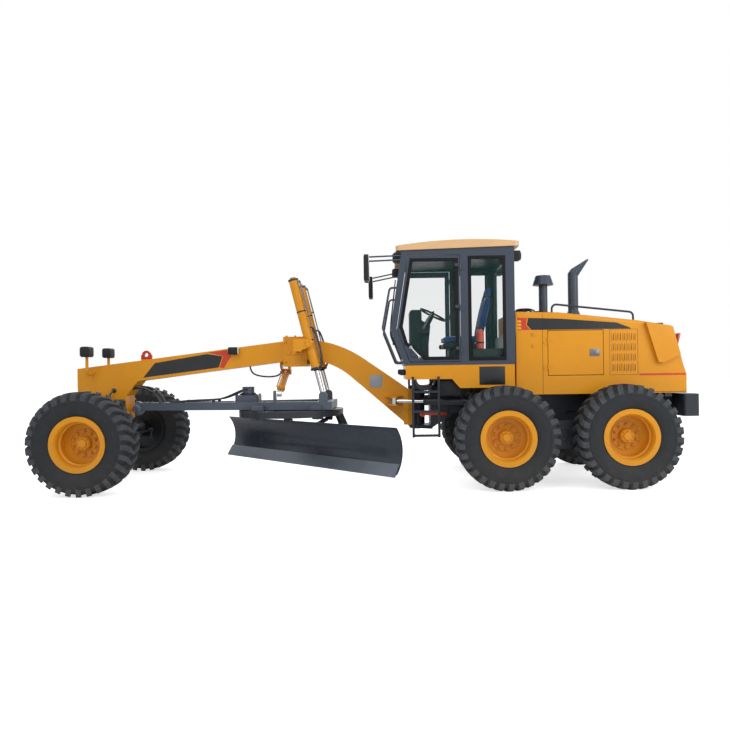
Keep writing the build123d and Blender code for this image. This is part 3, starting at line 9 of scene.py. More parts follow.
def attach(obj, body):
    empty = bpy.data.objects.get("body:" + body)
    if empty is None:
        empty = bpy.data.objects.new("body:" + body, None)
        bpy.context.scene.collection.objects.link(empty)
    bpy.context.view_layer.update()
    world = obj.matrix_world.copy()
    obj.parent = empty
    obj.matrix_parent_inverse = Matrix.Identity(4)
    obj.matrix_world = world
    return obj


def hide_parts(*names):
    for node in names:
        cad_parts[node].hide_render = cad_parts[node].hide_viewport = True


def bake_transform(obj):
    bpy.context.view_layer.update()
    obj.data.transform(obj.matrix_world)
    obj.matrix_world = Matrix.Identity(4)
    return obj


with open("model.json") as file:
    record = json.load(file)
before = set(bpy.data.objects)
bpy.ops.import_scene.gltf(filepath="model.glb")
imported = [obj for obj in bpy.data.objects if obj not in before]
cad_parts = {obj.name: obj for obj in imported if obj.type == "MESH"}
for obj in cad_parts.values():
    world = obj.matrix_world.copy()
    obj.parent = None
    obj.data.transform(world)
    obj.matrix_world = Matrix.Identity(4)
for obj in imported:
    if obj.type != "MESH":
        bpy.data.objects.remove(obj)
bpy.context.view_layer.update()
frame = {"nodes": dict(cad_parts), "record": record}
nodes = frame["nodes"]
print("frame loaded:", len(nodes), "nodes")

sides = {"left": 1, "right": -1}


# colours and shader nodes

def hexLinear(code, alpha=1.0):
    values = []
    for start in (1, 3, 5):
        c = int(code[start:start + 2], 16) / 255
        values.append(c / 12.92 if c <= 0.04045 else ((c + 0.055) / 1.055) ** 2.4)
    return (*values, alpha)


def perMetre(millimetres):
    return 1000.0 / millimetres  # a pattern's scale from the real size of one patch


def addNode(tree, kind, settings=None, links=None):
    node = tree.nodes.new(kind)
    for key, value in (settings or {}).items():
        if isinstance(key, int) or key in node.inputs:
            node.inputs[key].default_value = value
        else:
            setattr(node, key, value)
    for key, source in (links or {}).items():
        tree.links.new(source, node.inputs[key])
    return node


# finishes: every one is a base colour that drifts to a second one in patches, a roughness that wanders,
# and a fine relief, all on Object coordinates; a zone is a box, alike on both sides, painted in its own colour

def zoneMask(tree, where, low, high):
    middle = [(a + b) / 2000 for a, b in zip(low, high)]
    reach = [(b - a) / 2000 for a, b in zip(low, high)]
    axes = addNode(tree, "ShaderNodeSeparateXYZ", links={0: where}).outputs
    across = addNode(tree, "ShaderNodeMath", {"operation": "ABSOLUTE"}, {0: axes["Y"]}).outputs[0]
    folded = addNode(tree, "ShaderNodeCombineXYZ", links={0: axes["X"], 1: across, 2: axes["Z"]}).outputs[0]
    past = folded
    for step in ({"operation": "SUBTRACT", 1: middle}, {"operation": "ABSOLUTE"},
                 {"operation": "SUBTRACT", 1: reach}):
        past = addNode(tree, "ShaderNodeVectorMath", step, {0: past}).outputs[0]
    outside = addNode(tree, "ShaderNodeSeparateXYZ", links={0: past}).outputs
    worst = outside["X"]
    for axis in ("Y", "Z"):
        worst = addNode(tree, "ShaderNodeMath", {"operation": "MAXIMUM"}, {0: worst, 1: outside[axis]}).outputs[0]
    return addNode(tree, "ShaderNodeMath", {"operation": "LESS_THAN", 1: 0.0}, {0: worst}).outputs[0]


# what a finish has unless it says otherwise, and the parts of the noise that its patches and roughness follow
plain = {"mix": 0.5, "metallic": 0.0, "coat": 0.0, "specular": 0.5, "sheen": 0.0, "alpha": 1.0, "zones": ()}
patchSpan = (0.42, 0.72)
roughSpan = (0.3, 0.7)


def makeFinish(given):
    spec = {**plain, **given}
    mat = bpy.data.materials.new(spec["name"])
    mat.use_nodes = True
    tree = mat.node_tree
    shader = tree.nodes["Principled BSDF"]
    where = addNode(tree, "ShaderNodeTexCoord").outputs["Object"]
    patch = addNode(tree, "ShaderNodeTexNoise",
                    {"Scale": perMetre(spec["patchMm"]), "Detail": 6.0, "Roughness": 0.6},
                    {"Vector": where}).outputs["Fac"]
    amount = addNode(tree, "ShaderNodeMapRange", {1: patchSpan[0], 2: patchSpan[1], 3: 0.0, 4: spec["mix"]},
                     {0: patch}).outputs[0]
    colours = {"data_type": "RGBA", 6: hexLinear(spec["colour"]), 7: hexLinear(spec["second"])}
    colour = addNode(tree, "ShaderNodeMix", colours, {0: amount}).outputs[2]
    over = []
    if "dust" in spec:  # dust settles low on the machine, in blotches
        code, full, clear, share = spec["dust"]
        height = addNode(tree, "ShaderNodeSeparateXYZ", links={0: where}).outputs["Z"]
        low = addNode(tree, "ShaderNodeMapRange", {1: full, 2: clear, 3: share, 4: 0.0}, {0: height}).outputs[0]
        blotch = addNode(tree, "ShaderNodeMath", {"operation": "MULTIPLY"}, {0: low, 1: patch}).outputs[0]
        over.append((code, blotch))
    over += [(code, zoneMask(tree, where, low, high)) for low, high, code in spec["zones"]]
    for code, mask in over:
        colour = addNode(tree, "ShaderNodeMix", {"data_type": "RGBA", 7: hexLinear(code)},
                         {0: mask, 6: colour}).outputs[2]
    tree.links.new(colour, shader.inputs["Base Color"])
    smooth, coarse = spec["rough"]
    rough = addNode(tree, "ShaderNodeMapRange", {1: roughSpan[0], 2: roughSpan[1], 3: smooth, 4: coarse},
                    {0: patch}).outputs[0]
    tree.links.new(rough, shader.inputs["Roughness"])
    grain = addNode(tree, "ShaderNodeTexNoise", {"Scale": perMetre(spec["grainMm"]), "Detail": 3.0},
                    {"Vector": where}).outputs["Fac"]
    relief = addNode(tree, "ShaderNodeBump", {"Strength": spec["relief"], "Distance": spec["grainMm"] / 4000},
                     {"Height": grain}).outputs[0]
    tree.links.new(relief, shader.inputs["Normal"])
    for socket, key in (("Metallic", "metallic"), ("Coat Weight", "coat"), ("Specular IOR Level", "specular"),
                        ("Sheen Weight", "sheen"), ("Alpha", "alpha")):
        shader.inputs[socket].default_value = spec[key]
    shader.inputs["Coat Roughness"].default_value = 0.08
    return mat


# dust is written as its colour, the heights in metres where it is full and where it ends, and its share
slate = "#272D36"
film = {"patchMm": 200, "rough": (0.26, 0.34), "grainMm": 5, "relief": 0.03}
finishSpecs = {
    # two-pack machine enamel, sprayed: deep yellow-orange with a clear gloss and a faint orange peel
    "yellow": {"name": "sprayedYellowEnamel", "colour": "#DE9412", "second": "#D28A0E", "patchMm": 420,
               "rough": (0.34, 0.44), "grainMm": 9, "relief": 0.05, "coat": 0.08, "specular": 0.32,
               "dust": ("#A98249", 0.2, 1.5, 0.25)},
    # moulded roof skin in a paler gel coat
    "roof": {"name": "paleGelCoat", "colour": "#DDB280", "second": "#D5A976", "patchMm": 300,
             "rough": (0.38, 0.48), "grainMm": 6, "relief": 0.04, "coat": 0.2},
    # chassis enamel, dark blue-grey, satin
    "dark": {"name": "slateChassisEnamel", "colour": slate, "second": "#20252D", "patchMm": 260, "mix": 0.6,
             "rough": (0.34, 0.46), "grainMm": 7, "relief": 0.06, "coat": 0.1, "specular": 0.35,
             "dust": ("#4F4B45", 0.1, 1.3, 0.25)},
    # cab posts: the same slate enamel, a little lighter and cleaner
    "cab": {"name": "slateCabEnamel", "colour": "#3A4350", "second": "#343D49", "patchMm": 260,
            "rough": (0.36, 0.46), "grainMm": 7, "relief": 0.05, "coat": 0.1, "specular": 0.35},
    # carbon-black tyre rubber, matte with greyish bloom
    "rubber": {"name": "vulcanisedTyreRubber", "colour": "#282B2E", "second": "#36393C", "patchMm": 90, "mix": 0.7,
               "rough": (0.72, 0.88), "grainMm": 5, "relief": 0.25, "specular": 0.3,
               "dust": ("#6A6258", 0.0, 0.5, 0.35)},
    # the same rubber on the lugs, painted paler: painted light on the raised lugs against the darker carcass between
    # them
    "lugRubberPaintedLight": {"name": "paintedLightLugRubber", "colour": "#404347", "second": "#53565A", "patchMm": 70, "mix": 0.8,
                  "rough": (0.74, 0.9), "grainMm": 5, "relief": 0.3, "specular": 0.3,
                  "dust": ("#6A6258", 0.0, 0.5, 0.4)},
    # braided rubber hose, a dull mid grey
    "hoseGrey": {"name": "braidedRubberHose", "colour": "#5A5F64", "second": "#474B50", "patchMm": 40, "mix": 0.6,
                 "rough": (0.45, 0.6), "grainMm": 4, "relief": 0.3},
    # hard chrome, ground and polished
    "chrome": {"name": "hardChromeRod", "colour": "#D6D8DA", "second": "#C4C6C9", "patchMm": 60,
               "rough": (0.10, 0.18), "grainMm": 3, "relief": 0.02, "metallic": 1.0},
    # abrasion-proof blade steel, worn to a pale grey
    "edge": {"name": "wornBladeSteel", "colour": "#666E79", "second": "#78808B", "patchMm": 320,
             "rough": (0.30, 0.42), "grainMm": 8, "relief": 0.08, "metallic": 0.5},
    # the moldboard's rolled face under glossy slate paint
    "moldboard": {"name": "glossySlateEnamel", "colour": "#2A323E", "second": "#353E4B", "patchMm": 520,
                  "rough": (0.22, 0.32), "grainMm": 9, "relief": 0.03, "coat": 0.15, "specular": 0.3},
    # tinted safety glass: mostly clear with a green cast
    "glass": {"name": "tintedSafetyGlass", "colour": "#4F8583", "second": "#477D7B", "patchMm": 900, "mix": 0.3,
              "rough": (0.03, 0.05), "grainMm": 60, "relief": 0.0, "alpha": 0.055, "specular": 0.15},
    # woven seat cloth in blue
    "cloth": {"name": "wovenSeatCloth", "colour": "#1F3A78", "second": "#2B4A8F", "patchMm": 16, "mix": 0.6,
              "rough": (0.85, 0.95), "grainMm": 4, "relief": 0.5, "sheen": 0.3},
    # moulded black plastic with a fine leather grain
    "plastic": {"name": "grainedBlackPlastic", "colour": "#1B1C1E", "second": "#242628", "patchMm": 40,
                "rough": (0.50, 0.62), "grainMm": 3, "relief": 0.2, "specular": 0.28},
    # painted grey iron of the engine
    "iron": {"name": "paintedGreyIron", "colour": "#3C3E40", "second": "#2E3032", "patchMm": 60, "mix": 0.7,
             "rough": (0.55, 0.7), "grainMm": 4, "relief": 0.3},
    # zinc-plated fasteners and unpainted fittings, dulled by weather
    "steel": {"name": "zincPlatedSteel", "colour": "#7C7F83", "second": "#5E6166", "patchMm": 25, "mix": 0.6,
              "rough": (0.35, 0.5), "grainMm": 3, "relief": 0.1, "metallic": 0.8},
    # black-coated hydraulic line, drawn steel
    "steelLine": {"name": "coatedSteelLine", "colour": "#22262B", "second": "#2D3238", "patchMm": 30,
                  "rough": (0.35, 0.45), "grainMm": 3, "relief": 0.05, "coat": 0.2},
    # cast vinyl films on the hood and beam, smooth with a soft gloss
    "blackFilm": {**film, "name": "blackVinylFilm", "colour": "#17191C", "second": "#1E2125"},
    "redFilm": {**film, "name": "redVinylFilm", "colour": "#C93A1E", "second": "#BE3419"},
    "amberFilm": {**film, "name": "amberVinylFilm", "colour": "#F0B21E", "second": "#E8A91A"},
    # moulded red lens plastic of the tail lamps
    "redLens": {"name": "redLensPlastic", "colour": "#A81C17", "second": "#8F1512", "patchMm": 30, "mix": 0.4,
                "rough": (0.08, 0.14), "grainMm": 6, "relief": 0.2, "coat": 0.6},
    # extruded rubber round the windows, matte black
    "seal": {"name": "extrudedWindowRubber", "colour": "#15171A", "second": "#1C1F22", "patchMm": 60,
             "rough": (0.55, 0.68), "grainMm": 4, "relief": 0.1, "specular": 0.15},
    # clear moulded lamp lenses over a bright reflector, with a pressed pattern
    "lens": {"name": "clearLampLens", "colour": "#DDE5E8", "second": "#C3CDD1", "patchMm": 30, "mix": 0.6,
             "rough": (0.06, 0.12), "grainMm": 14, "relief": 0.6, "coat": 0.6},
    # anodised aluminium of the blank plates
    "greyPlate": {"name": "anodisedAluminiumPlate", "colour": "#8F949A", "second": "#82878D", "patchMm": 90,
                  "rough": (0.40, 0.50), "grainMm": 3, "relief": 0.05, "metallic": 0.3},
}
yellow = finishSpecs["yellow"]
cabPaint = finishSpecs["cab"]
finishSpecs.update({
    # the yellow enamel again, with the slate ladder, lamps and rail and the red lifting eye picked out, and the front
    # frame's hinge foot painted slate as painted shade
    "yellowFloor": {**yellow, "name": "yellowEnamelSlateLadder",
                    "zones": [((-1400, 790, 400), (0, 1100, 1640), slate)]},
    "yellowFront": {**yellow, "name": "yellowEnamelRedEye",
                    "zones": [((3850, 0, 1780), (4050, 600, 2000), slate),
                              ((3170, -30, 1745), (3340, 30, 1900), "#B8331C"),
                              # the front frame's rear foot at the centre hinge: painted shade, slate where it sits in
                              # shadow among dark hoses
                              ((-900, -400, 700), (-545, 400, 1500), slate)]},
    "yellowHood": {**yellow, "name": "yellowEnamelSlateRail",
                   "zones": [((-2900, 540, 2290), (-2400, 580, 2500), slate),
                             ((-3500, 540, 2245), (-2900, 580, 2500), slate),
                             ((-3560, 540, 2170), (-3500, 580, 2500), slate)]},
    # rim enamel: yellow outside the disc, near black on the inner side
    "rim": {**yellow, "name": "rimEnamelBlackInside",
            "zones": [((-5000, 700, 0), (5000, 1026, 1500), "#1B1E21")]},
    # the cab's enamel, near black on its inner faces
    "cabLined": {**cabPaint, "name": "slateEnamelDarkInside",
                 "zones": [((-1890, -745, 1500), (-420, 745, 3400), "#14191C")]},
    # drawbar beams: slate enamel painted paler, a painted highlight for the sheen of the reflective grey-blue paint
    "drawbar": {**cabPaint, "name": "paleSlateEnamelPaintedHighlight", "colour": "#525B67", "second": "#474F5B"},
})
finishes = {key: makeFinish(spec) for key, spec in finishSpecs.items()}
print("finishes made:", len(finishes))


def finishNode(name, key):
    mesh = nodes[name].data
    mesh.materials.clear()
    mesh.materials.append(finishes[key])


slotFinish = {"yellow_paint": "yellow", "roof_paint": "roof", "dark_paint": "dark", "tyre": "rubber",
              "chrome_rod": "chrome", "edge_steel": "edge", "glass": "glass", "seat_fabric": "cloth",
              "console_plastic": "plastic", "engine_iron": "iron"}
for entry in frame["record"]["subparts"]:
    finishNode(entry["node"], slotFinish[entry["material_slot"]])
ownFinish = {"cab_frame": "cabLined", "cab_door_left": "cab", "cab_door_right": "cab", "cab_floor": "yellowFloor",
             "front_frame": "yellowFront", "hood": "yellowHood", "moldboard": "moldboard", "shift_barrel": "yellow",
             "exhaust": "cab", "air_cleaner": "cab", "drawbar": "drawbar"}
ownFinish.update({f"rim_{row}_{sideName}": "rim" for row in ("front", "mid", "rear") for sideName in sides})
for name, key in ownFinish.items():
    finishNode(name, key)


# modelling helpers: lengths are written in millimetres of the machine's own frame
mm = 0.001


def toMetres(point):
    return Vector(point) * mm


def addPiece(name, bm, finish, body="rear", replaced=(), sharpDeg=35):
    bmesh.ops.remove_doubles(bm, verts=bm.verts, dist=0.00002)
    bmesh.ops.recalc_face_normals(bm, faces=bm.faces)
    mesh = bpy.data.meshes.new(name)
    bm.to_mesh(mesh)
    bm.free()
    mesh.polygons.foreach_set("use_smooth", [True] * len(mesh.polygons))
    mesh.set_sharp_from_angle(angle=math.radians(sharpDeg))
    mesh.materials.append(finishes[finish])
    obj = bpy.data.objects.new(name, mesh)
    bpy.context.collection.objects.link(obj)
    if body:
        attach(obj, body)
    if replaced:
        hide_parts(*replaced)
    return obj


def addBlock(bm, low, high, edge=0.0, segments=2, turn=None):
    made = bmesh.ops.create_cube(bm, size=1.0)["verts"]
    a, b = toMetres(low), toMetres(high)
    bmesh.ops.scale(bm, vec=[abs(c) for c in b - a], verts=made)
    bmesh.ops.translate(bm, vec=(a + b) / 2, verts=made)
    if turn:
        bmesh.ops.transform(bm, matrix=turn, verts=made)
    if edge:
        edges = list({e for v in made for e in v.link_edges})
        bmesh.ops.bevel(bm, geom=edges, offset=edge * mm, offset_type="OFFSET", affect="EDGES", segments=segments,
                        profile=0.5, material=-1)


def addTurned(bm, profile, place, axis, steps=32):
    turn = Vector((0, 0, 1)).rotation_difference(Vector(axis)).to_matrix().to_4x4()
    turn = Matrix.Translation(toMetres(place)) @ turn
    points = [bm.verts.new(turn @ toMetres((r, 0, h))) for r, h in profile]
    edges = [bm.edges.new(pair) for pair in zip(points, points[1:])]
    bmesh.ops.spin(bm, geom=points + edges, cent=toMetres(place), axis=Vector(axis).normalized(), dvec=(0, 0, 0),
                   angle=2 * math.pi, steps=steps, use_merge=True)


def addBolt(bm, place, axis, across=24.0):
    r = across / 2
    addTurned(bm, [(0, 0), (r * 1.45, 0), (r * 1.45, 3), (r * 1.35, 4), (0, 4)], place, axis, 14)
    addTurned(bm, [(r * 1.15, 3), (r * 1.15, r * 1.1), (r * 0.95, r * 1.3), (0, r * 1.3)], place, axis, 6)


def addStud(bm, wide, narrow, step, tall, place, axis, steps):
    # a disc with a bevelled top
    addTurned(bm, [(0, 0), (wide, 0), (wide, step), (narrow, tall), (0, tall)], place, axis, steps)


def ringSpots(centre, radius, count, phase=0.0, flat=False):
    # points on a circle that stands square to Y, or lies flat
    turns = [2 * math.pi * (i + phase) / count for i in range(count)]
    across = Vector((0, 1, 0) if flat else (0, 0, 1))
    return [Vector(centre) + (Vector((1, 0, 0)) * math.cos(a) + across * math.sin(a)) * radius for a in turns]


def addPipe(bm, points, radius):
    curve = bpy.data.curves.new("route", "CURVE")
    curve.dimensions = "3D"
    spline = curve.splines.new("NURBS")
    spline.points.add(len(points) - 1)
    for knot, point in zip(spline.points, points):
        knot.co = (*toMetres(point), 1.0)
    spline.order_u = 3
    spline.use_endpoint_u = True
    spline.resolution_u = 6
    curve.bevel_depth = radius * mm
    curve.bevel_resolution = 2
    curve.use_fill_caps = True
    route = bpy.data.objects.new("route", curve)
    bpy.context.collection.objects.link(route)
    mesh = bpy.data.meshes.new_from_object(route)
    bm.from_mesh(mesh)
    bpy.data.meshes.remove(mesh)
    bpy.data.objects.remove(route)
    bpy.data.curves.remove(curve)


def addPlate(bm, corners, thick, edge=0.0):
    face = bm.faces.new([bm.verts.new(toMetres(c)) for c in corners])
    face.normal_update()
    side = face.normal.copy()
    grown = bmesh.ops.extrude_face_region(bm, geom=[face])["geom"]
    top = [g for g in grown if isinstance(g, bmesh.types.BMVert)]
    bmesh.ops.translate(bm, vec=side * thick * mm, verts=top)
    if edge:
        rim = [e for e in {e for v in top for e in v.link_edges} if all(v in top for v in e.verts)]
        bmesh.ops.bevel(bm, geom=rim, offset=edge * mm, offset_type="OFFSET", affect="EDGES", segments=2, profile=0.5,
                        material=-1)


def addBox(name, sideName, finish, low, high, edge, segments, body="rear"):
    # a piece made of one rounded block, with its Y written for the left side
    bm = bmesh.new()
    flip = Vector((1, sides[sideName], 1))
    addBlock(bm, Vector(low) * flip, Vector(high) * flip, edge, segments)
    addPiece(f"{name}_{sideName}", bm, finish, body)


# tyres: a carcass turned from its section, and chevron lugs wrapped over the crown and shoulders
tyre = {"radius": 662.0, "lugs": 30, "lugWide": 78.0, "lugDrop": 34.0, "lugSunk": 6.0, "lag": 0.15, "shoulder": 214.0,
        "tread": 150.0, "wheelY": 1078.0, "axleZ": 662.0, "rows": {"front": 3680.0, "mid": -1711.0, "rear": -3249.0}}
wheels = [(row, sideName) for row in tyre["rows"] for sideName in sides]
tyreSection = [(322, -172), (357, -173), (362, -182), (400, -204), (450, -218), (500, -222), (520, -219), (523, -222),
               (536, -222), (540, -217), (580, -209), (606, -196), (620, -172), (628, -120), (631, 0)]
tyreSection += [(r, -y) for r, y in reversed(tyreSection[:-1])]


def crownRadius(y):
    for (ra, ya), (rb, yb) in zip(tyreSection[10:], tyreSection[11:]):
        if ya <= y <= yb:
            return ra + (rb - ra) * (y - ya) / (yb - ya)
    return tyreSection[10][0]


def buildTyre(row, sideName):
    place = Vector((tyre["rows"][row], sides[sideName] * tyre["wheelY"], tyre["axleZ"]))
    bm = bmesh.new()
    addTurned(bm, tyreSection + tyreSection[:1], place, (0, 1, 0), 90)
    # one lug: a long block across the tread, then every point is laid on the crown and swept back from the middle
    lug = bmesh.new()
    bmesh.ops.create_cube(lug, size=1.0)
    cross = [e for e in lug.edges if abs(e.verts[0].co.y - e.verts[1].co.y) > 0.5]
    bmesh.ops.subdivide_edges(lug, edges=cross, cuts=13, use_grid_fill=True)
    shoulder, tread = tyre["shoulder"], tyre["tread"]
    for v in lug.verts:
        across = v.co.y * 2 * shoulder
        outer = v.co.z > 0
        fade = max(0.0, (abs(across) - tread) / (shoulder - tread))
        radius = tyre["radius"] - tyre["lugDrop"] * fade ** 1.6 if outer else crownRadius(across) - tyre["lugSunk"]
        wide = tyre["lugWide"] * (0.62 + 0.38 * min(1.0, abs(across) / tread)) * (0.86 if outer else 1.08)
        angle = v.co.x * wide / tyre["radius"] - tyre["lag"] * abs(across) / shoulder
        v.co = toMetres(place + Vector((radius * math.cos(angle), across, radius * math.sin(angle))))
    bmesh.ops.spin(lug, geom=lug.verts[:] + lug.edges[:] + lug.faces[:], cent=toMetres(place), axis=(0, -1, 0),
                   dvec=(0, 0, 0), angle=2 * math.pi * (1 - 1 / tyre["lugs"]), steps=tyre["lugs"] - 1,
                   use_duplicate=True)
    # the lugs take the second slot, the paler rubber that is painted light on them
    for face in lug.faces:
        face.material_index = 1
    lugMesh = bpy.data.meshes.new("lugs")
    lug.to_mesh(lugMesh)
    lug.free()
    bm.from_mesh(lugMesh)
    bpy.data.meshes.remove(lugMesh)
    obj = addPiece(f"luggedTyre_{row}_{sideName}", bm, "rubber", f"wheel_{row}_{sideName}",
                   replaced=[f"tyre_{row}_{sideName}"], sharpDeg=40)
    obj.data.materials.append(finishes["lugRubberPaintedLight"])


for wheel in wheels:
    buildTyre(*wheel)
print("tyres built")


# wheel nuts with their studs, hub cap and the step rings in each dish
hub = {"nutRing": 146.0, "nuts": 10, "capRing": 66.0, "capBolts": 8, "discFace": -44.0, "hubFace": 28.0}


def buildWheelTrim(row, sideName):
    side = sides[sideName]
    out = Vector((0, side, 0))
    place = Vector((tyre["rows"][row], side * tyre["wheelY"], tyre["axleZ"]))
    ring = place + out * hub["discFace"]
    face = place + out * hub["hubFace"]
    bm = bmesh.new()
    for spot in ringSpots(ring, hub["nutRing"], hub["nuts"], 0.5):
        addBolt(bm, spot, out, 36)
        addTurned(bm, [(0, 20), (11, 20), (11, 40), (8, 44), (0, 44)], spot, out, 12)
    for spot in ringSpots(face, hub["capRing"], hub["capBolts"]):
        addBolt(bm, spot, out, 18)
    addPiece(f"wheelNuts_{row}_{sideName}", bm, "yellow", f"wheel_{row}_{sideName}")
    bm = bmesh.new()
    addTurned(bm, [(54, 0), (54, 10), (50, 16), (20, 20), (0, 20)], face, out, 36)
    addTurned(bm, [(172, 0), (176, 10), (186, 10), (190, 0)], ring, out, 48)
    addTurned(bm, [(276, 96), (262, 102), (258, 112), (276, 126)], ring, out, 60)
    addPiece(f"hubCap_{row}_{sideName}", bm, "yellow", f"wheel_{row}_{sideName}")


for wheel in wheels:
    buildWheelTrim(*wheel)
print("wheel trim built")


# blade trim: bolts of the cutting edge, and end bits
blade = {"angle": 47.0, "circleX": 1180.0, "middle": 130.0, "half": 1830.0, "pitch": 152.0, "bitWide": 130.0}
bladeTurn = math.radians(blade["angle"])
along = Vector((-math.sin(bladeTurn), math.cos(bladeTurn), 0))
ahead = Vector((math.cos(bladeTurn), math.sin(bladeTurn), 0))
upward = Vector((0, 0, 1))
edgeFace = {"low": (-60.9, 205.0), "high": (-148.0, 352.0), "thick": 20.0}


def onBlade(u, n, z):
    return Vector((blade["circleX"], 0, 0)) + along * u + ahead * n + upward * z


def buildBladeTrim():
    lowN, lowZ = edgeFace["low"]
    highN, highZ = edgeFace["high"]
    slope = Vector((highN - lowN, highZ - lowZ)).normalized()
    outWay = ahead * slope.y - upward * slope.x
    bm = bmesh.new()
    count = int(2 * blade["half"] / blade["pitch"])
    for i in range(count):
        u = blade["middle"] - blade["half"] + (i + 0.5) * 2 * blade["half"] / count
        for share in (0.55, 0.85):
            n = lowN + (highN - lowN) * share
            z = lowZ + (highZ - lowZ) * share
            spot = onBlade(u, n, z) + outWay * edgeFace["thick"]
            addTurned(bm, [(0, -2), (16, -2), (16, 2), (12, 6), (0, 8)], spot, outWay, 16)
    addPiece("edgeBolts", bm, "edge", "blade")
    # end bits: a plate over each end of the moldboard's face
    bm = bmesh.new()
    for end in (-1, 1):
        u0 = blade["middle"] + end * blade["half"]
        u1 = u0 - end * blade["bitWide"]
        corners = [onBlade(u, n, z) + outWay * (edgeFace["thick"] + 0.5) for u, n, z in
                   ((u0, lowN, lowZ), (u1, lowN, lowZ), (u1, highN, highZ), (u0, highN, highZ))]
        if end < 0:
            corners.reverse()
        addPlate(bm, corners, 10, 3)
    addPiece("endBits", bm, "edge", "blade")


# cylinders: gland nut, port bosses and the steel line along each barrel
lift = {"pivot": (862.0, 400.0, 1925.0), "eye": (685.0, 400.0, 1205.0), "rise": 915.0, "fall": 375.0, "radius": 64.0}


def addLine(bm, base, way, off, span, heights, radius):
    # a line that leaves a barrel, runs along it and comes back to it
    start, stop, bend = span
    low, high = heights
    route = ((start, low), (start, high), (start + bend, high), (stop - bend, high), (stop, high), (stop, low))
    addPipe(bm, [base + way * at + off * out for at, out in route], radius)


def buildLiftTrim(sideName):
    side = sides[sideName]
    flip = Vector((1, side, 1))
    pivot = Vector(lift["pivot"]) * flip
    way = (Vector(lift["eye"]) * flip - pivot).normalized()
    top = pivot - way * lift["rise"]
    low = pivot + way * lift["fall"]
    rear = Vector((0, 1, 0)).cross(way).normalized()
    body = f"lift_barrel_{sideName}"
    bm = bmesh.new()
    addTurned(bm, [(70, -34), (76, -30), (76, -6), (70, 0), (40, 4), (36, 14), (33, 14)], low, way, 40)
    addTurned(bm, [(64, 0), (71, 4), (71, 26), (64, 30)], top, way, 40)
    for share in (0.36, 0.68):
        ring = top + way * (lift["rise"] + lift["fall"]) * share
        addTurned(bm, [(64, -9), (67.5, -8), (67.5, 8), (64, 9)], ring, way, 40)
    addPiece(f"liftBands_{sideName}", bm, "dark", body)
    bm = bmesh.new()
    for offset, inward, start, stop in ((0.0, 0.0, 40.0, 1240.0), (30.0, 6.0, 60.0, 420.0)):
        foot = top + Vector((0, side, 0)) * offset
        base = lift["radius"] - inward
        addLine(bm, foot, way, rear, (start, stop, 34), (base - 8, base + 24), 9)
        for at in (start, stop):
            spot = foot + way * at + rear * (base - 3)
            addStud(bm, 17, 13, 10, 14, spot, rear, 6)
    addPiece(f"liftLines_{sideName}", bm, "steel", body)
    # pair of rubber hoses behind the barrel's lower half
    bm = bmesh.new()
    route = ((700, 60), (700, 92), (760, 112), (960, 128), (1140, 116), (1230, 96), (1262, 62))
    for offset in (-16.0, 16.0):
        push = Vector((0, side, 0)) * offset
        addPipe(bm, [top + way * at + rear * out + push for at, out in route], 12)
    addPiece(f"liftHoses_{sideName}", bm, "steelLine", body)


def buildTurnTrim(sideName):
    side = sides[sideName]
    base = Vector((-1330.0, side * 560.0, 1110.0))
    way = (Vector((-295.0, side * 330.0, 1110.0)) - base).normalized()
    bm = bmesh.new()
    addTurned(bm, [(56, -26), (60, -22), (60, -4), (54, 0), (34, 6), (27, 12)], base + way * 640, way, 36)
    addTurned(bm, [(50, 0), (55, 3), (55, 20), (50, 24)], base + way * 95, way, 36)
    addLine(bm, base, way, upward, (130, 595, 35), (44, 74), 8)
    addPiece(f"turnBands_{sideName}", bm, "dark", f"articulation_barrel_{sideName}")


def buildShiftTrim():
    base = Vector((1300.0, -330.0, 1540.0))
    way = (Vector((1300.0, 330.0, 1235.0)) - base).normalized()
    bm = bmesh.new()
    addTurned(bm, [(54, -26), (58, -22), (58, -4), (52, 0), (32, 3), (27, 6)], base + way * 572, way, 36)
    addTurned(bm, [(48, 0), (53, 3), (53, 20), (48, 24)], base + way * 95, way, 36)
    addLine(bm, base, way, Vector((1, 0, 0)), (120, 520, 30), (42, 70), 8)
    addPiece("shiftBands", bm, "yellow", "shift_barrel")


buildBladeTrim()
for sideName in sides:
    buildLiftTrim(sideName)
    buildTurnTrim(sideName)
buildShiftTrim()
print("blade and cylinder trim built")


# hood trim: louvres, seams, latch, coloured bands, caps, rear grille and lamps
hood = {"half": 700.0, "louvreX": (-3190.0, -3525.0), "louvreZ": (1470.0, 2010.0), "rows": 4, "slots": 7}


def addSidePlate(bm, side, outline, y, thick, edge=0.0):
    # the outline is given as X, Z seen from the machine's left
    corners = [(x, side * y, z) for x, z in outline]
    (xa, za), (xb, zb), (xc, zc) = outline[:3]
    facing = (zb - za) * (xc - xb) - (xb - xa) * (zc - zb)
    if facing * side < 0:
        corners.reverse()
    addPlate(bm, corners, thick, edge)


def addFilm(name, sideName, finish, outlines, y, body="rear"):
    bm = bmesh.new()
    for outline in outlines:
        addSidePlate(bm, sides[sideName], outline, y, 0.5)
    addPiece(f"{name}_{sideName}", bm, finish, body)


def addSideStrip(bm, side, points, y, wide, thick, edge=0.0):
    for i, ((xa, za), (xb, zb)) in enumerate(zip(points, points[1:])):
        way = Vector((xb - xa, zb - za)).normalized()
        off = Vector((-way.y, way.x)) * wide / 2
        a = Vector((xa, za)) - way * wide / 2
        b = Vector((xb, zb)) + way * wide / 2
        # neighbours overlap at the corners, so every other run sits a little higher
        corners = [p[:] for p in (a + off, b + off, b - off, a - off)]
        addSidePlate(bm, side, corners, y, thick + 0.6 * (i % 2), edge)


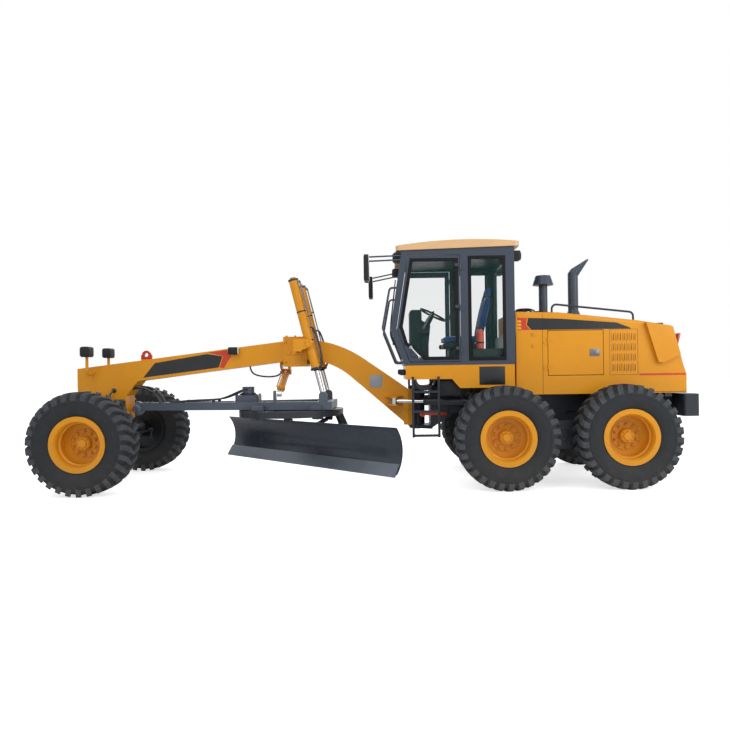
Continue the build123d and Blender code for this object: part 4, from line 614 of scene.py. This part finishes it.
def buildHoodTrim(sideName):
    side = sides[sideName]
    out = (0, side, 0)
    y = hood["half"]
    # louvres: a pressed hood over each slot, with a thin black plate beside it as painted shade in the slot
    bm = bmesh.new()
    dark = bmesh.new()
    x0, x1 = hood["louvreX"]
    z0, z1 = hood["louvreZ"]
    for row in range(hood["rows"]):
        for slot in range(hood["slots"]):
            x = x0 + (x1 - x0) * (slot + 0.5) / hood["slots"]
            z = z0 + (z1 - z0) * (row + 0.5) / hood["rows"]
            addBlock(bm, (x - 4, side * (y - 4), z - 50), (x + 14, side * (y + 9), z + 50), 6, 2)
            slit = [(x - 13, z - 44), (x - 3, z - 44), (x - 3, z + 44), (x - 13, z + 44)]
            addSidePlate(dark, side, slit, y + 0.2, 0.6)
    outline = [(-3171, 1437), (-3544, 1437), (-3544, 2044), (-3171, 2044), (-3171, 1437)]
    addSideStrip(dark, side, outline, y + 0.2, 3.5, 0.6)
    addSideStrip(dark, side, [(-2278, 1200), (-2278, 2252)], y + 0.2, 4.5, 0.6)
    addSideStrip(dark, side, [(-3150, 1205), (-4180, 1205)], y + 0.2, 6, 0.6)
    addPiece(f"hoodLouvres_{sideName}", bm, "yellow", "rear")
    # the seam strips, and the louvres' black slits as painted shade
    addPiece(f"hoodSeamsAndSlitShade_{sideName}", dark, "plastic")
    # long black band with a red and amber front end, and a red line at the tail
    addFilm("hoodBand", sideName, "blackFilm", [[(-2090, 2212), (-2070, 2120), (-2130, 2050), (-3464, 2050),
                                                 (-3440, 2068), (-3262, 2135), (-2505, 2196)]], y + 0.2)
    ends = [[(-1945, 2214), (-1945, 2050), (-2118, 2050), (-2058, 2120), (-2078, 2212)],
            [(-3562, 1452), (-3562, 1424), (-4184, 1424), (-4176, 1452)]]
    addFilm("hoodRedFilm", sideName, "redFilm", ends, y + 0.2, "rear")
    bars = [[(-1945, z + 14), (-1945, z - 14), (-2000, z - 14), (-1988, z + 14)] for z in (2078, 2122, 2166)]
    addFilm("hoodAmberFilm", sideName, "amberFilm", bars, y + 0.8, "rear")
    # latch on the engine door: a pressed tray with its paddle
    bm = bmesh.new()
    addBlock(bm, (-3035, side * (y - 2), 1690), (-2905, side * (y + 5), 1788), 4)
    addBlock(bm, (-3020, side * (y + 3), 1712), (-2950, side * (y + 12), 1766), 5)
    addStud(bm, 14, 11, 6, 9, (-2928, side * (y + 4), 1738), out, 20)
    addPiece(f"hoodLatch_{sideName}", bm, "steel", f"hood_door_{sideName}")
    bm = bmesh.new()
    for z in (1850, 2000):
        addStud(bm, 13, 9, 8, 14, (-2150, side * (y - 1), z), out, 18)
        addBlock(bm, (-2162, side * (y + 6), z - 30), (-2138, side * (y + 16), z + 4), 4)
    addPiece(f"hoodCatches_{sideName}", bm, "yellow", "rear")
    # tail lamp, set in the sloped rear corner
    bm = bmesh.new()
    lean = Matrix.Translation(toMetres((-4082, side * 610, 1885))) @ Matrix.Rotation(math.radians(-14.8), 4, "Y")
    addBlock(bm, (-6, -70, -105), (26, 70, 105), 10, 3, lean @ Matrix.Rotation(math.pi, 4, "Z"))
    addPiece(f"tailLamp_{sideName}", bm, "redLens")


def buildHoodTop():
    bm = bmesh.new()
    for x, y, r in ((-2050, 380, 55), (-2160, 150, 42), (-2080, -260, 50)):
        addTurned(bm, [(r - 6, -8), (r - 6, 22), (r, 24), (r, 46), (r - 5, 52), (r - 16, 52), (r - 20, 58), (0, 58)],
                  (x, y, 2294), upward, 30)
    addBlock(bm, (-2010, -120, 2292), (-1960, 300, 2330), 8)
    addPipe(bm, [(-1990, 330, 2296), (-1990, 330, 2345), (-2040, 470, 2350), (-2200, 520, 2345),
                 (-2230, 540, 2290)], 12)
    addPipe(bm, [(-2010, 250, 2290), (-2010, 250, 2340), (-2080, 260, 2350), (-2240, 300, 2345),
                 (-2250, 300, 2280)], 12)
    addBlock(bm, (-3990, 330, 2080), (-3900, 470, 2140), 14, 3)
    addPiece("hoodCaps", bm, "plastic")
    # rear grille: bars in a frame on the sloped tail
    bm = bmesh.new()
    way = Vector((-140.0, 0, -529.0)).normalized()
    top = Vector((-4010, 0, 2089))
    for i in range(13):
        spot = top + way * (70 + i * 36)
        corner = [spot + Vector((0, s * 460, 0)) + way * w for s, w in ((-1, -9), (1, -9), (1, 9), (-1, 9))]
        addPlate(bm, corner[::-1], -6)
    for s in (-1, 1):
        corner = [top + way * w + Vector((0, s * q, 0)) for w, q in ((40, 455), (40, 485), (540, 485), (540, 455))]
        addPlate(bm, corner if s < 0 else corner[::-1], 8)
    addPiece("rearGrille", bm, "plastic")


for sideName in sides:
    buildHoodTrim(sideName)
buildHoodTop()
print("hood trim built")


# cab trim: window rubbers, lamps, mirrors, wipers, roof studs, handles and blank plates
cab = {"half": 780.0, "doorWindow": [(-540, 2990), (-395, 2110), (-460, 1890), (-705, 1690), (-1135, 1690),
                                     (-1135, 2990)],
       "sideWindow": [(-1307, 3015), (-1307, 1675), (-1760, 1675), (-1760, 3015)], "rubber": 44.0}


def buildCabTrim(sideName):
    side = sides[sideName]
    out = (0, side, 0)
    y = cab["half"]
    for piece, window, body in (("doorRubber", "doorWindow", f"cab_door_{sideName}"),
                                ("windowRubber", "sideWindow", "rear")):
        bm = bmesh.new()
        addSideStrip(bm, side, cab[window] + cab[window][:1], y + 0.2, cab["rubber"], 4, 2)
        addPiece(f"{piece}_{sideName}", bm, "seal", body)
    # pull handle across the door's lower front panel
    bm = bmesh.new()
    handle = [(-520, side * y, 1838), (-520, side * (y + 34), 1838), (-540, side * (y + 36), 1815),
              (-612, side * (y + 36), 1733), (-632, side * (y + 34), 1710), (-632, side * y, 1710)]
    addPipe(bm, handle, 11)
    for x, z in ((-520, 1838), (-632, 1710)):
        addStud(bm, 20, 15, 5, 9, (x, side * (y - 1), z), out, 20)
    addPiece(f"doorHandle_{sideName}", bm, "chrome", f"cab_door_{sideName}")
    # work lamps at the top corners: rounded shell, bezel and lens
    for part, x, z, way in (("front", -310.0, 3035, 1), ("rear", -1986.0, 3040, -1)):
        bm = bmesh.new()
        addBlock(bm, (x - way * 96, side * 612, z - 64), (x + way * 3, side * 768, z + 64), 16, 3)
        addTurned(bm, [(50, 0), (58, 2), (58, 10), (52, 14), (50, 8)], (x + way * 2, side * 690, z), (way, 0, 0), 32)
        addPiece(f"lampShell_{part}_{sideName}", bm, "plastic")
        bm = bmesh.new()
        addTurned(bm, [(51, 5), (40, 8), (20, 11), (0, 12)], (x + way * 2, side * 690, z), (way, 0, 0), 32)
        addPiece(f"lampLens_{part}_{sideName}", bm, "lens")
    # low work lamp under the cab's front corner
    bm = bmesh.new()
    addPipe(bm, [(-460, side * 690, 1500), (-430, side * 690, 1500), (-410, side * 690, 1520)], 12)
    addBlock(bm, (-448, side * 640, 1470), (-372, side * 740, 1550), 14, 3)
    addTurned(bm, [(30, 0), (36, 2), (36, 8), (31, 10), (30, 4)], (-373, side * 690, 1510), (1, 0, 0), 28)
    addPiece(f"lowLamp_{sideName}", bm, "plastic")
    bm = bmesh.new()
    addTurned(bm, [(31, 3), (16, 7), (0, 8)], (-373, side * 690, 1510), (1, 0, 0), 28)
    addPiece(f"lowLens_{sideName}", bm, "lens")
    # mirror: rounded shell round the arm's end, with the glass on its rear face
    addBox("mirrorShell", sideName, "plastic", (12, 896, 2676), (79, 1104, 3024), 28, 4)
    addBox("mirrorGlass", sideName, "chrome", (9, 912, 2700), (13, 1088, 3000), 1.5, 2)
    # lifting studs on the roof
    bm = bmesh.new()
    for x, z in ((-470, 3178), (-1790, 3214)):
        addTurned(bm, [(0, 0), (20, 0), (20, 6), (8, 12), (6, 40), (0, 42)], (x, side * 700, z), upward, 16)
    addPiece(f"roofStuds_{sideName}", bm, "steel")
    # blank plate on the skirt
    bm = bmesh.new()
    addSidePlate(bm, side, [(-1420, 1572), (-1760, 1572), (-1760, 1330), (-1420, 1330)], 775.2, 2, 1)
    addPiece(f"skirtPlate_{sideName}", bm, "blackFilm")
    # ribbed tread plates on the ladder's rungs
    bm = bmesh.new()
    for z in (679, 993, 1252):
        for i in range(9):
            x = -560 - i * 36
            addBlock(bm, (x - 5, side * 838, z + 13.5), (x + 5, side * 892, z + 18), 1.5, 1)
    addPiece(f"rungTreads_{sideName}", bm, "cab")


def buildCabInside():
    # extinguisher on the left console box
    bm = bmesh.new()
    at = (-1455, 640, 1812)
    addTurned(bm, [(0, 0), (44, 0), (50, 8), (50, 210), (42, 240), (18, 262), (16, 272), (0, 272)], at, upward, 32)
    addPiece("extinguisher", bm, "redFilm", "rear")
    bm = bmesh.new()
    addTurned(bm, [(0, 268), (18, 268), (18, 292), (0, 296)], at, upward, 20)
    addBlock(bm, (-1470, 632, 2086), (-1395, 648, 2100), 3)
    addPipe(bm, [(-1440, 640, 2090), (-1400, 660, 2095), (-1385, 665, 2010), (-1400, 660, 1880)], 8)
    addTurned(bm, [(52, 70), (54, 72), (54, 92), (52, 94)], at, upward, 32)
    addPiece("extinguisherValve", bm, "plastic", "rear")
    bm = bmesh.new()
    for side in sides.values():
        addBlock(bm, (-1780, side * 380, 1601), (-1330, side * 722, 1812), 24, 3)
        addBlock(bm, (-1330, side * 330, 1840), (-980, side * 420, 1905), 18, 3)
        addBlock(bm, (-1250, side * 345, 1601), (-1130, side * 405, 1842), 10, 2)
    addPiece("sideConsoles", bm, "plastic", "rear")
    # control levers on both sides of the steering column, their knobs, and the column's box and cowl
    bm = bmesh.new()
    knobs = bmesh.new()
    knob = [(0, -4), (9, -2), (14, 12), (14, 24), (8, 34), (0, 36)]
    for side in sides.values():
        for i in range(5):
            y = side * (150 + i * 34)
            addPipe(bm, [(-700 - 6 * i, y, 2105), (-745 - 6 * i, y, 2230), (-830 - 4 * i, y, 2330)], 6)
            addTurned(knobs, knob, (-826 - 4 * i, y, 2326), (-0.65, 0, 0.76), 18)
    addPiece("levers", bm, "steel", "rear")
    addBlock(knobs, (-790, -330, 2040), (-640, 330, 2112), 16, 3)
    addBlock(knobs, (-800, -60, 1640), (-690, 60, 2060), 12, 2)
    addBlock(knobs, (-700, -190, 1601), (-525, 190, 2390), 45, 4)
    addPiece("leverKnobs", knobs, "plastic", "rear")
    # wipers on the front glass: an arm and a blade each
    bm = bmesh.new()
    for y in (-330, 330):
        addPipe(bm, [(-300, y, 1935), (-262, y, 2010), (-245, y + 60, 2120), (-300, y + 200, 2500)], 6)
        addPipe(bm, [(-258, y + 90, 2180), (-295, y + 160, 2480), (-330, y + 230, 2760)], 8)
        addStud(bm, 18, 10, 14, 20, (-305, y, 1930), (1, 0, -0.35), 18)
    addPiece("wipers", bm, "plastic")


for sideName in sides:
    buildCabTrim(sideName)
buildCabInside()
print("cab trim built")


# seat: foam cushions under woven cloth, on a moulded base
seatPads = {
    "seatCushion": {"low": (-1525, -255, 1902), "high": (-995, 255, 2018), "crown": 26.0, "lean": 0.0},
    "seatBack": {"low": (-70, -245, 0), "high": (40, 245, 560), "crown": 22.0, "lean": -12.5},
    "headRest": {"low": (-52, -150, 585), "high": (30, 150, 700), "crown": 14.0, "lean": -12.5},
}
padShape = {"cuts": 7, "waist": 0.06, "seamAt": 0.42, "seamWide": 0.12, "seamDeep": 7.0, "hinge": (-1500, 0, 2000)}


def buildPad(name, spec):
    bm = bmesh.new()
    bmesh.ops.create_cube(bm, size=1.0)
    bmesh.ops.subdivide_edges(bm, edges=bm.edges[:], cuts=padShape["cuts"], use_grid_fill=True)
    low, high = Vector(spec["low"]), Vector(spec["high"])
    size = high - low
    middle = (low + high) / 2
    thin = min(range(3), key=lambda i: size[i])
    wide = [i for i in range(3) if i != thin]
    for v in bm.verts:
        p = v.co * 2
        a, b = (abs(p[i]) for i in wide)
        swell = (1 - a ** 4) * (1 - b ** 4)
        spot = Vector(v.co)
        for i, other in zip(wide, wide[::-1]):
            spot[i] *= (1 - padShape["waist"] * (1 - p[other] ** 2)) * size[i]
        spot[thin] *= size[thin] - 2 * spec["crown"] * (1 - swell)
        channel = min(abs(abs(p[wide[-1]]) - padShape["seamAt"]) / padShape["seamWide"], 1.0)
        if p[thin] > 0:
            spot[thin] -= padShape["seamDeep"] * (1 - channel)
        v.co = toMetres(spot + middle)
    if spec["lean"]:
        turn = Matrix.Translation(toMetres(padShape["hinge"])) @ Matrix.Rotation(math.radians(spec["lean"]), 4, "Y")
        bmesh.ops.transform(bm, matrix=turn, verts=bm.verts)
    pad = addPiece(name, bm, "cloth", "rear", replaced=["seat"] if name == "seatCushion" else (),
                   sharpDeg=80)
    smooth = pad.modifiers.new("round", "SUBSURF")
    smooth.levels = 1
    smooth.render_levels = 1


for name, spec in seatPads.items():
    buildPad(name, spec)
bm = bmesh.new()
addBlock(bm, (-1480, -195, 1601), (-1080, 195, 1840), 30, 3)
addBlock(bm, (-1530, -250, 1836), (-1000, 250, 1904), 20, 3)
for side in sides.values():
    addPipe(bm, [(-1585, side * 60, 2520), (-1605, side * 60, 2570), (-1620, side * 60, 2620)], 9)
addPiece("seatBase", bm, "plastic", "rear")
print("seat built")


# front frame trim: films, lamps, ports, plates and bolts
beam = {"half": 160.0,
        "band": [(3252, 1482), (3084, 1687), (2341, 1806), (2129, 1770), (2181, 1612)],
        "redFilm": [(2333, 1826), (2067, 1858), (2002, 1773), (2108, 1604), (2170, 1612), (2117, 1772)],
        "plate": [(45, 1474), (-131, 1474), (-131, 1298), (45, 1298)]}


def buildBeamTrim(sideName):
    side = sides[sideName]
    out = (0, side, 0)
    y = beam["half"]
    addFilm("beamBand", sideName, "blackFilm", [beam["band"]], y + 0.2, "front")
    addFilm("beamRedFilm", sideName, "redFilm", [beam["redFilm"]], y + 0.2, "front")
    # blank plate on the arch's rear leg, with a rivet in each corner
    bm = bmesh.new()
    addSidePlate(bm, side, beam["plate"], y + 0.2, 2, 1)
    for x, z in ((35, 1464), (-121, 1464), (-121, 1308), (35, 1308)):
        addTurned(bm, [(0, 1), (6, 1), (5, 4), (0, 5)], (x, side * (y + 1), z), out, 12)
    addPiece(f"beamPlate_{sideName}", bm, "greyPlate", "front")
    # work lamp on the beam's side
    bm = bmesh.new()
    addBlock(bm, (1930, side * (y - 1), 1800), (1990, side * (y + 30), 1830), 6)
    addBlock(bm, (1895, side * (y + 18), 1790), (2030, side * (y + 92), 1895), 16, 3)
    addPiece(f"beamLamp_{sideName}", bm, "plastic", "front")
    addBox("beamLampLens", sideName, "lens", (1886, y + 28, 1800), (1897, y + 82, 1885), 4, 2, "front")
    # head lamp: rounded shell over the lamp body, and a lens
    addBox("headLampShell", sideName, "plastic", (3896, 250, 1778), (4018, 450, 1924), 30, 4, "front")
    addBox("headLampLens", sideName, "lens", (4012, 268, 1796), (4024, 432, 1906), 8, 3, "front")
    # line port on the nose with a short steel elbow
    bm = bmesh.new()
    addStud(bm, 34, 26, 5, 10, (3665, side * y, 1307), out, 26)
    elbow = ((3665, 4, 1307), (3665, 50, 1300), (3700, 64, 1250), (3740, 50, 1130), (3740, -4, 1080))
    addPipe(bm, [(x, side * (y + off), z) for x, off, z in elbow], 11)
    addPiece(f"noseLine_{sideName}", bm, "steelLine", "front")
    # valve block on the nose's flank, with its fittings
    bm = bmesh.new()
    addBlock(bm, (3512, side * (y - 2), 960), (3640, side * (y + 92), 1180), 8)
    for i in range(4):
        port = (3512, side * (y + 46), 985 + i * 52)
        addStud(bm, 16, 12, 12, 18, port, (-1, 0, 0), 6)
    addPiece(f"valveBlock_{sideName}", bm, "steelLine", "front")


def buildSaddleTrim():
    bm = bmesh.new()
    addPipe(bm, [(1782, -40, 1640), (1778, -60, 1560), (1721, -100, 1500), (1620, -150, 1474), (1500, -250, 1466),
                 (1392, -300, 1490), (1372, -312, 1540)], 12)
    addStud(bm, 22, 16, 12, 18, (1372, -312, 1534), upward, 6)
    addPiece("shiftHose", bm, "steelLine", "front")
    bm = bmesh.new()
    for side in sides.values():
        out = (0, side, 0)
        for x in (960, 1228):
            for z in (1680, 1960):
                addBolt(bm, (x, side * 205.3, z), out, 34)
        for x in (1010, 1095, 1180):
            addTurned(bm, [(0, 0), (26, 0), (30, 4), (30, 10), (24, 14), (0, 14)], (x, side * 205.3, 1800), out, 24)
        addTurned(bm, [(0, 0), (52, 0), (52, 8), (44, 14), (30, 14), (28, 10), (0, 10)], (862, side * 500.5, 1925),
                  out, 32)
        for spot in ringSpots((862, side * 508, 1925), 40, 6):
            addBolt(bm, spot, out, 13)
    for x in (970, 1094, 1218):
        for y in (-150, 150):
            addBolt(bm, (x, y, 2032), upward, 28)
    addPiece("saddleBolts", bm, "yellow", "front")


def buildDrawbarTrim():
    # hose sleeves from the nose over the drawbar's ball
    bm = bmesh.new()
    for y in (-110, -84, -58, 58, 84, 110):
        addPipe(bm, [(3560, y, 1280), (3470, y, 1312), (3390, y, 1340), (3299, y * 1.08, 1346),
                     (3180, y * 1.08, 1312), (3090, y, 1236), (3040, y, 1150), (3025, y, 1096)], 15)
    for x, z in ((3345, 1345), (3135, 1278)):
        for side in sides.values():
            addBlock(bm, (x - 9, side * 44, z - 22), (x + 9, side * 136, z + 22), 8, 2)
    sleeves = addPiece("hoseSleeves", bm, "steelLine", None)
    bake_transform(sleeves)
    # circle drive motor: flange, cap, lines and bolts
    bm = bmesh.new()
    addTurned(bm, [(85, 0), (108, 0), (108, 22), (86, 24)], (1800, 0, 1212), upward, 40)
    addTurned(bm, [(84, 0), (88, 3), (88, 11), (60, 14), (0, 14)], (1800, 0, 1318), upward, 40)
    for spot in ringSpots((1800, 0, 1234), 97, 8, flat=True):
        addBolt(bm, spot, upward, 17)
    for x, y in ((1660, 120), (1660, -120), (1940, 120), (1940, -120)):
        addBolt(bm, (x, y, 1211), upward, 26)
    route = ((1800, 84, 1300), (1800, 120, 1300), (1860, 140, 1290), (2100, 150, 1180), (2260, 158, 1150),
             (2700, 128, 1140), (2900, 104, 1122))
    for side in sides.values():
        addPipe(bm, [(x, side * y, z) for x, y, z in route], 12)
        addBlock(bm, (2240, side * 146, 1120), (2280, side * 176, 1162), 4)
        addBlock(bm, (2680, side * 110, 1120), (2720, side * 140, 1152), 4)
    addPiece("circleDrive", bm, "dark", "drawbar")
    # bolted clamp of the ball socket, and the adjusting bolts over the circle's shoes
    bm = bmesh.new()
    for y in (-55.8, 55.8):
        for x in (3270, 3200):
            addBolt(bm, (x, y, 1122), upward, 24)
    for radius in (548, 586):
        for spot in ringSpots((blade["circleX"], 0, 1052), radius, 4, 0.5, flat=True):
            addBolt(bm, spot, upward, 22)
    addPiece("drawbarBolts", bm, "steel", "drawbar")


def buildTandemTrim(sideName):
    side = sides[sideName]
    out = (0, side, 0)
    bm = bmesh.new()
    for x, r in ((-2480, 96), (-2200, 62), (-2760, 62)):
        cover = [(0, 0), (r, 0), (r, 8), (r - 8, 12), (r - 22, 12), (r - 26, 9), (0, 9)]
        addTurned(bm, cover, (x, side * 840, 662), out, 36)
        for spot in ringSpots((x, side * 851, 662), r - 14, 8):
            addBolt(bm, spot, out, 14)
    for x in (-1950, -3010):
        addBolt(bm, (x, side * 840, 540), out, 26)
    addPiece(f"tandemCovers_{sideName}", bm, "dark")


def buildRearTrim():
    bm = bmesh.new()
    for y in (-640, -520, 520, 640):
        for z in (940, 1110):
            addStud(bm, 26, 20, 4, 6, (-4342, y, z), (-1, 0, 0), 24)
            addBolt(bm, (-4346, y, z), (-1, 0, 0), 30)
    # hitch pin with its bent handle
    addTurned(bm, [(0, 0), (25, 0), (25, 250), (34, 252), (34, 268), (0, 272)], (-4272, 0, 912), upward, 24)
    addPipe(bm, [(-4272, y, z) for y, z in ((0, 1182), (0, 1215), (40, 1225), (70, 1200), (72, 1176))], 6)
    addPiece("counterweightBolts", bm, "steel")
    # stowed locking bar of the centre hinge
    bm = bmesh.new()
    addBlock(bm, (-1030, 236, 900), (-690, 262, 948), 8, 3)
    addTurned(bm, [(14, -4), (40, -4), (44, 0), (44, 22), (40, 26), (14, 26)], (-690, 237, 924), (0, 1, 0), 30)
    addPiece("lockBar", bm, "redFilm")
    # boxes under the deck, each with its line
    bm = bmesh.new()
    route = ((-900, 500, 1300), (-860, 500, 1300), (-820, 420, 1280), (-820, 300, 1270), (-840, 232, 1262))
    for side in sides.values():
        addBlock(bm, (-1180, side * 420, 1190), (-900, side * 720, 1400), 12, 3)
        addPipe(bm, [(x, side * y, z) for x, y, z in route], 14)
    addPiece("deckBoxes", bm, "plastic")
    # hose loops hung under the deck, ahead of the boxes
    bm = bmesh.new()
    for y in (-368, -332, -296, 296, 332, 368):
        dip = 1262 + 0.5 * (abs(y) - 296)
        loop = ((-575, 1590), (-580, 1400), (-640, dip + 10), (-740, dip), (-840, dip + 16), (-880, 1400),
                (-885, 1590))
        addPipe(bm, [(x, y, z) for x, z in loop], 13)
    addPiece("deckHoses", bm, "hoseGrey")


for sideName in sides:
    buildBeamTrim(sideName)
    buildTandemTrim(sideName)
buildSaddleTrim()
buildDrawbarTrim()
buildRearTrim()
print("frame trim built")


# stage, light and camera
stage = {"floorHalf": 60.0, "floorColour": "#FFFFFF", "floorRough": 0.9, "floorSeen": 0.66, "worldStrength": 0.52,
         "keyWatts": 330.0, "fillWatts": 340.0}

bm = bmesh.new()
bmesh.ops.create_grid(bm, x_segments=1, y_segments=1, size=stage["floorHalf"])
floorMesh = bpy.data.meshes.new("floor")
bm.to_mesh(floorMesh)
bm.free()
floor = bpy.data.objects.new("floor", floorMesh)
bpy.context.collection.objects.link(floor)
floorMat = bpy.data.materials.new("paleFloor")
floorMat.use_nodes = True
tree = floorMat.node_tree
shader = tree.nodes["Principled BSDF"]
shader.inputs["Base Color"].default_value = hexLinear(stage["floorColour"])
shader.inputs["Roughness"].default_value = stage["floorRough"]
shader.inputs["Emission Color"].default_value = (1, 1, 1, 1)
ray = addNode(tree, "ShaderNodeLightPath")
seen = addNode(tree, "ShaderNodeMath", {"operation": "MULTIPLY", 1: stage["floorSeen"]},
               {0: ray.outputs["Is Camera Ray"]})
tree.links.new(seen.outputs[0], shader.inputs["Emission Strength"])
floorMesh.materials.append(floorMat)

world = bpy.data.worlds.new("studio")
bpy.context.scene.world = world
world.use_nodes = True
tree = world.node_tree
background = tree.nodes["Background"]
background.inputs["Color"].default_value = (1, 1, 1, 1)
ray = addNode(tree, "ShaderNodeLightPath")
seen = ray.outputs["Is Camera Ray"]
for kind in ("Is Transmission Ray", "Is Glossy Ray"):
    seen = addNode(tree, "ShaderNodeMath", {"operation": "MAXIMUM"}, {0: seen, 1: ray.outputs[kind]}).outputs[0]
strength = addNode(tree, "ShaderNodeMapRange", {1: 0.0, 2: 1.0, 3: stage["worldStrength"], 4: 1.0}, {0: seen})
tree.links.new(strength.outputs[0], background.inputs["Strength"])


def areaLamp(name, place, target, size, watts):
    lamp = bpy.data.lights.new(name, "AREA")
    lamp.size = size
    lamp.energy = watts
    obj = bpy.data.objects.new(name, lamp)
    obj.location = place
    obj.rotation_euler = (Vector(target) - Vector(place)).to_track_quat("-Z", "Y").to_euler()
    bpy.context.collection.objects.link(obj)


areaLamp("keyLamp", (3.0, 9.0, 9.0), (0, 0, 1.2), 7.0, stage["keyWatts"])
areaLamp("fillLamp", (-8.0, 6.0, 5.0), (-1, 0, 1.2), 6.0, stage["fillWatts"])
areaLamp("backLamp", (2.0, -9.0, 8.0), (0, 0, 1.2), 7.0, stage["fillWatts"])

# the photograph was taken square to the machine's left side from about nine metres, a little tilted
photoView = {"pixels": 730, "focal": 653.0, "place": (-0.227, 9.4, 1.55), "axisPixel": (389.0, 369.5),
             "rollDeg": -0.8}
camera = bpy.data.cameras.new("photoCamera")
camera.sensor_width = 36.0
camera.lens = 36.0 * photoView["focal"] / photoView["pixels"]
half = photoView["pixels"] / 2
camera.shift_x = (half - photoView["axisPixel"][0]) / photoView["pixels"]
camera.shift_y = (photoView["axisPixel"][1] - half) / photoView["pixels"]
camera.clip_end = 200.0
cameraObject = bpy.data.objects.new("photoCamera", camera)
bpy.context.collection.objects.link(cameraObject)
cameraObject.matrix_world = (Matrix.Translation(photoView["place"]) @ Matrix.Rotation(math.pi, 4, "Z")
                             @ Matrix.Rotation(math.pi / 2, 4, "X")
                             @ Matrix.Rotation(math.radians(photoView["rollDeg"]), 4, "Z"))
bpy.context.scene.camera = cameraObject
bpy.context.scene.view_settings.view_transform = "Standard"
print("stage and camera set")
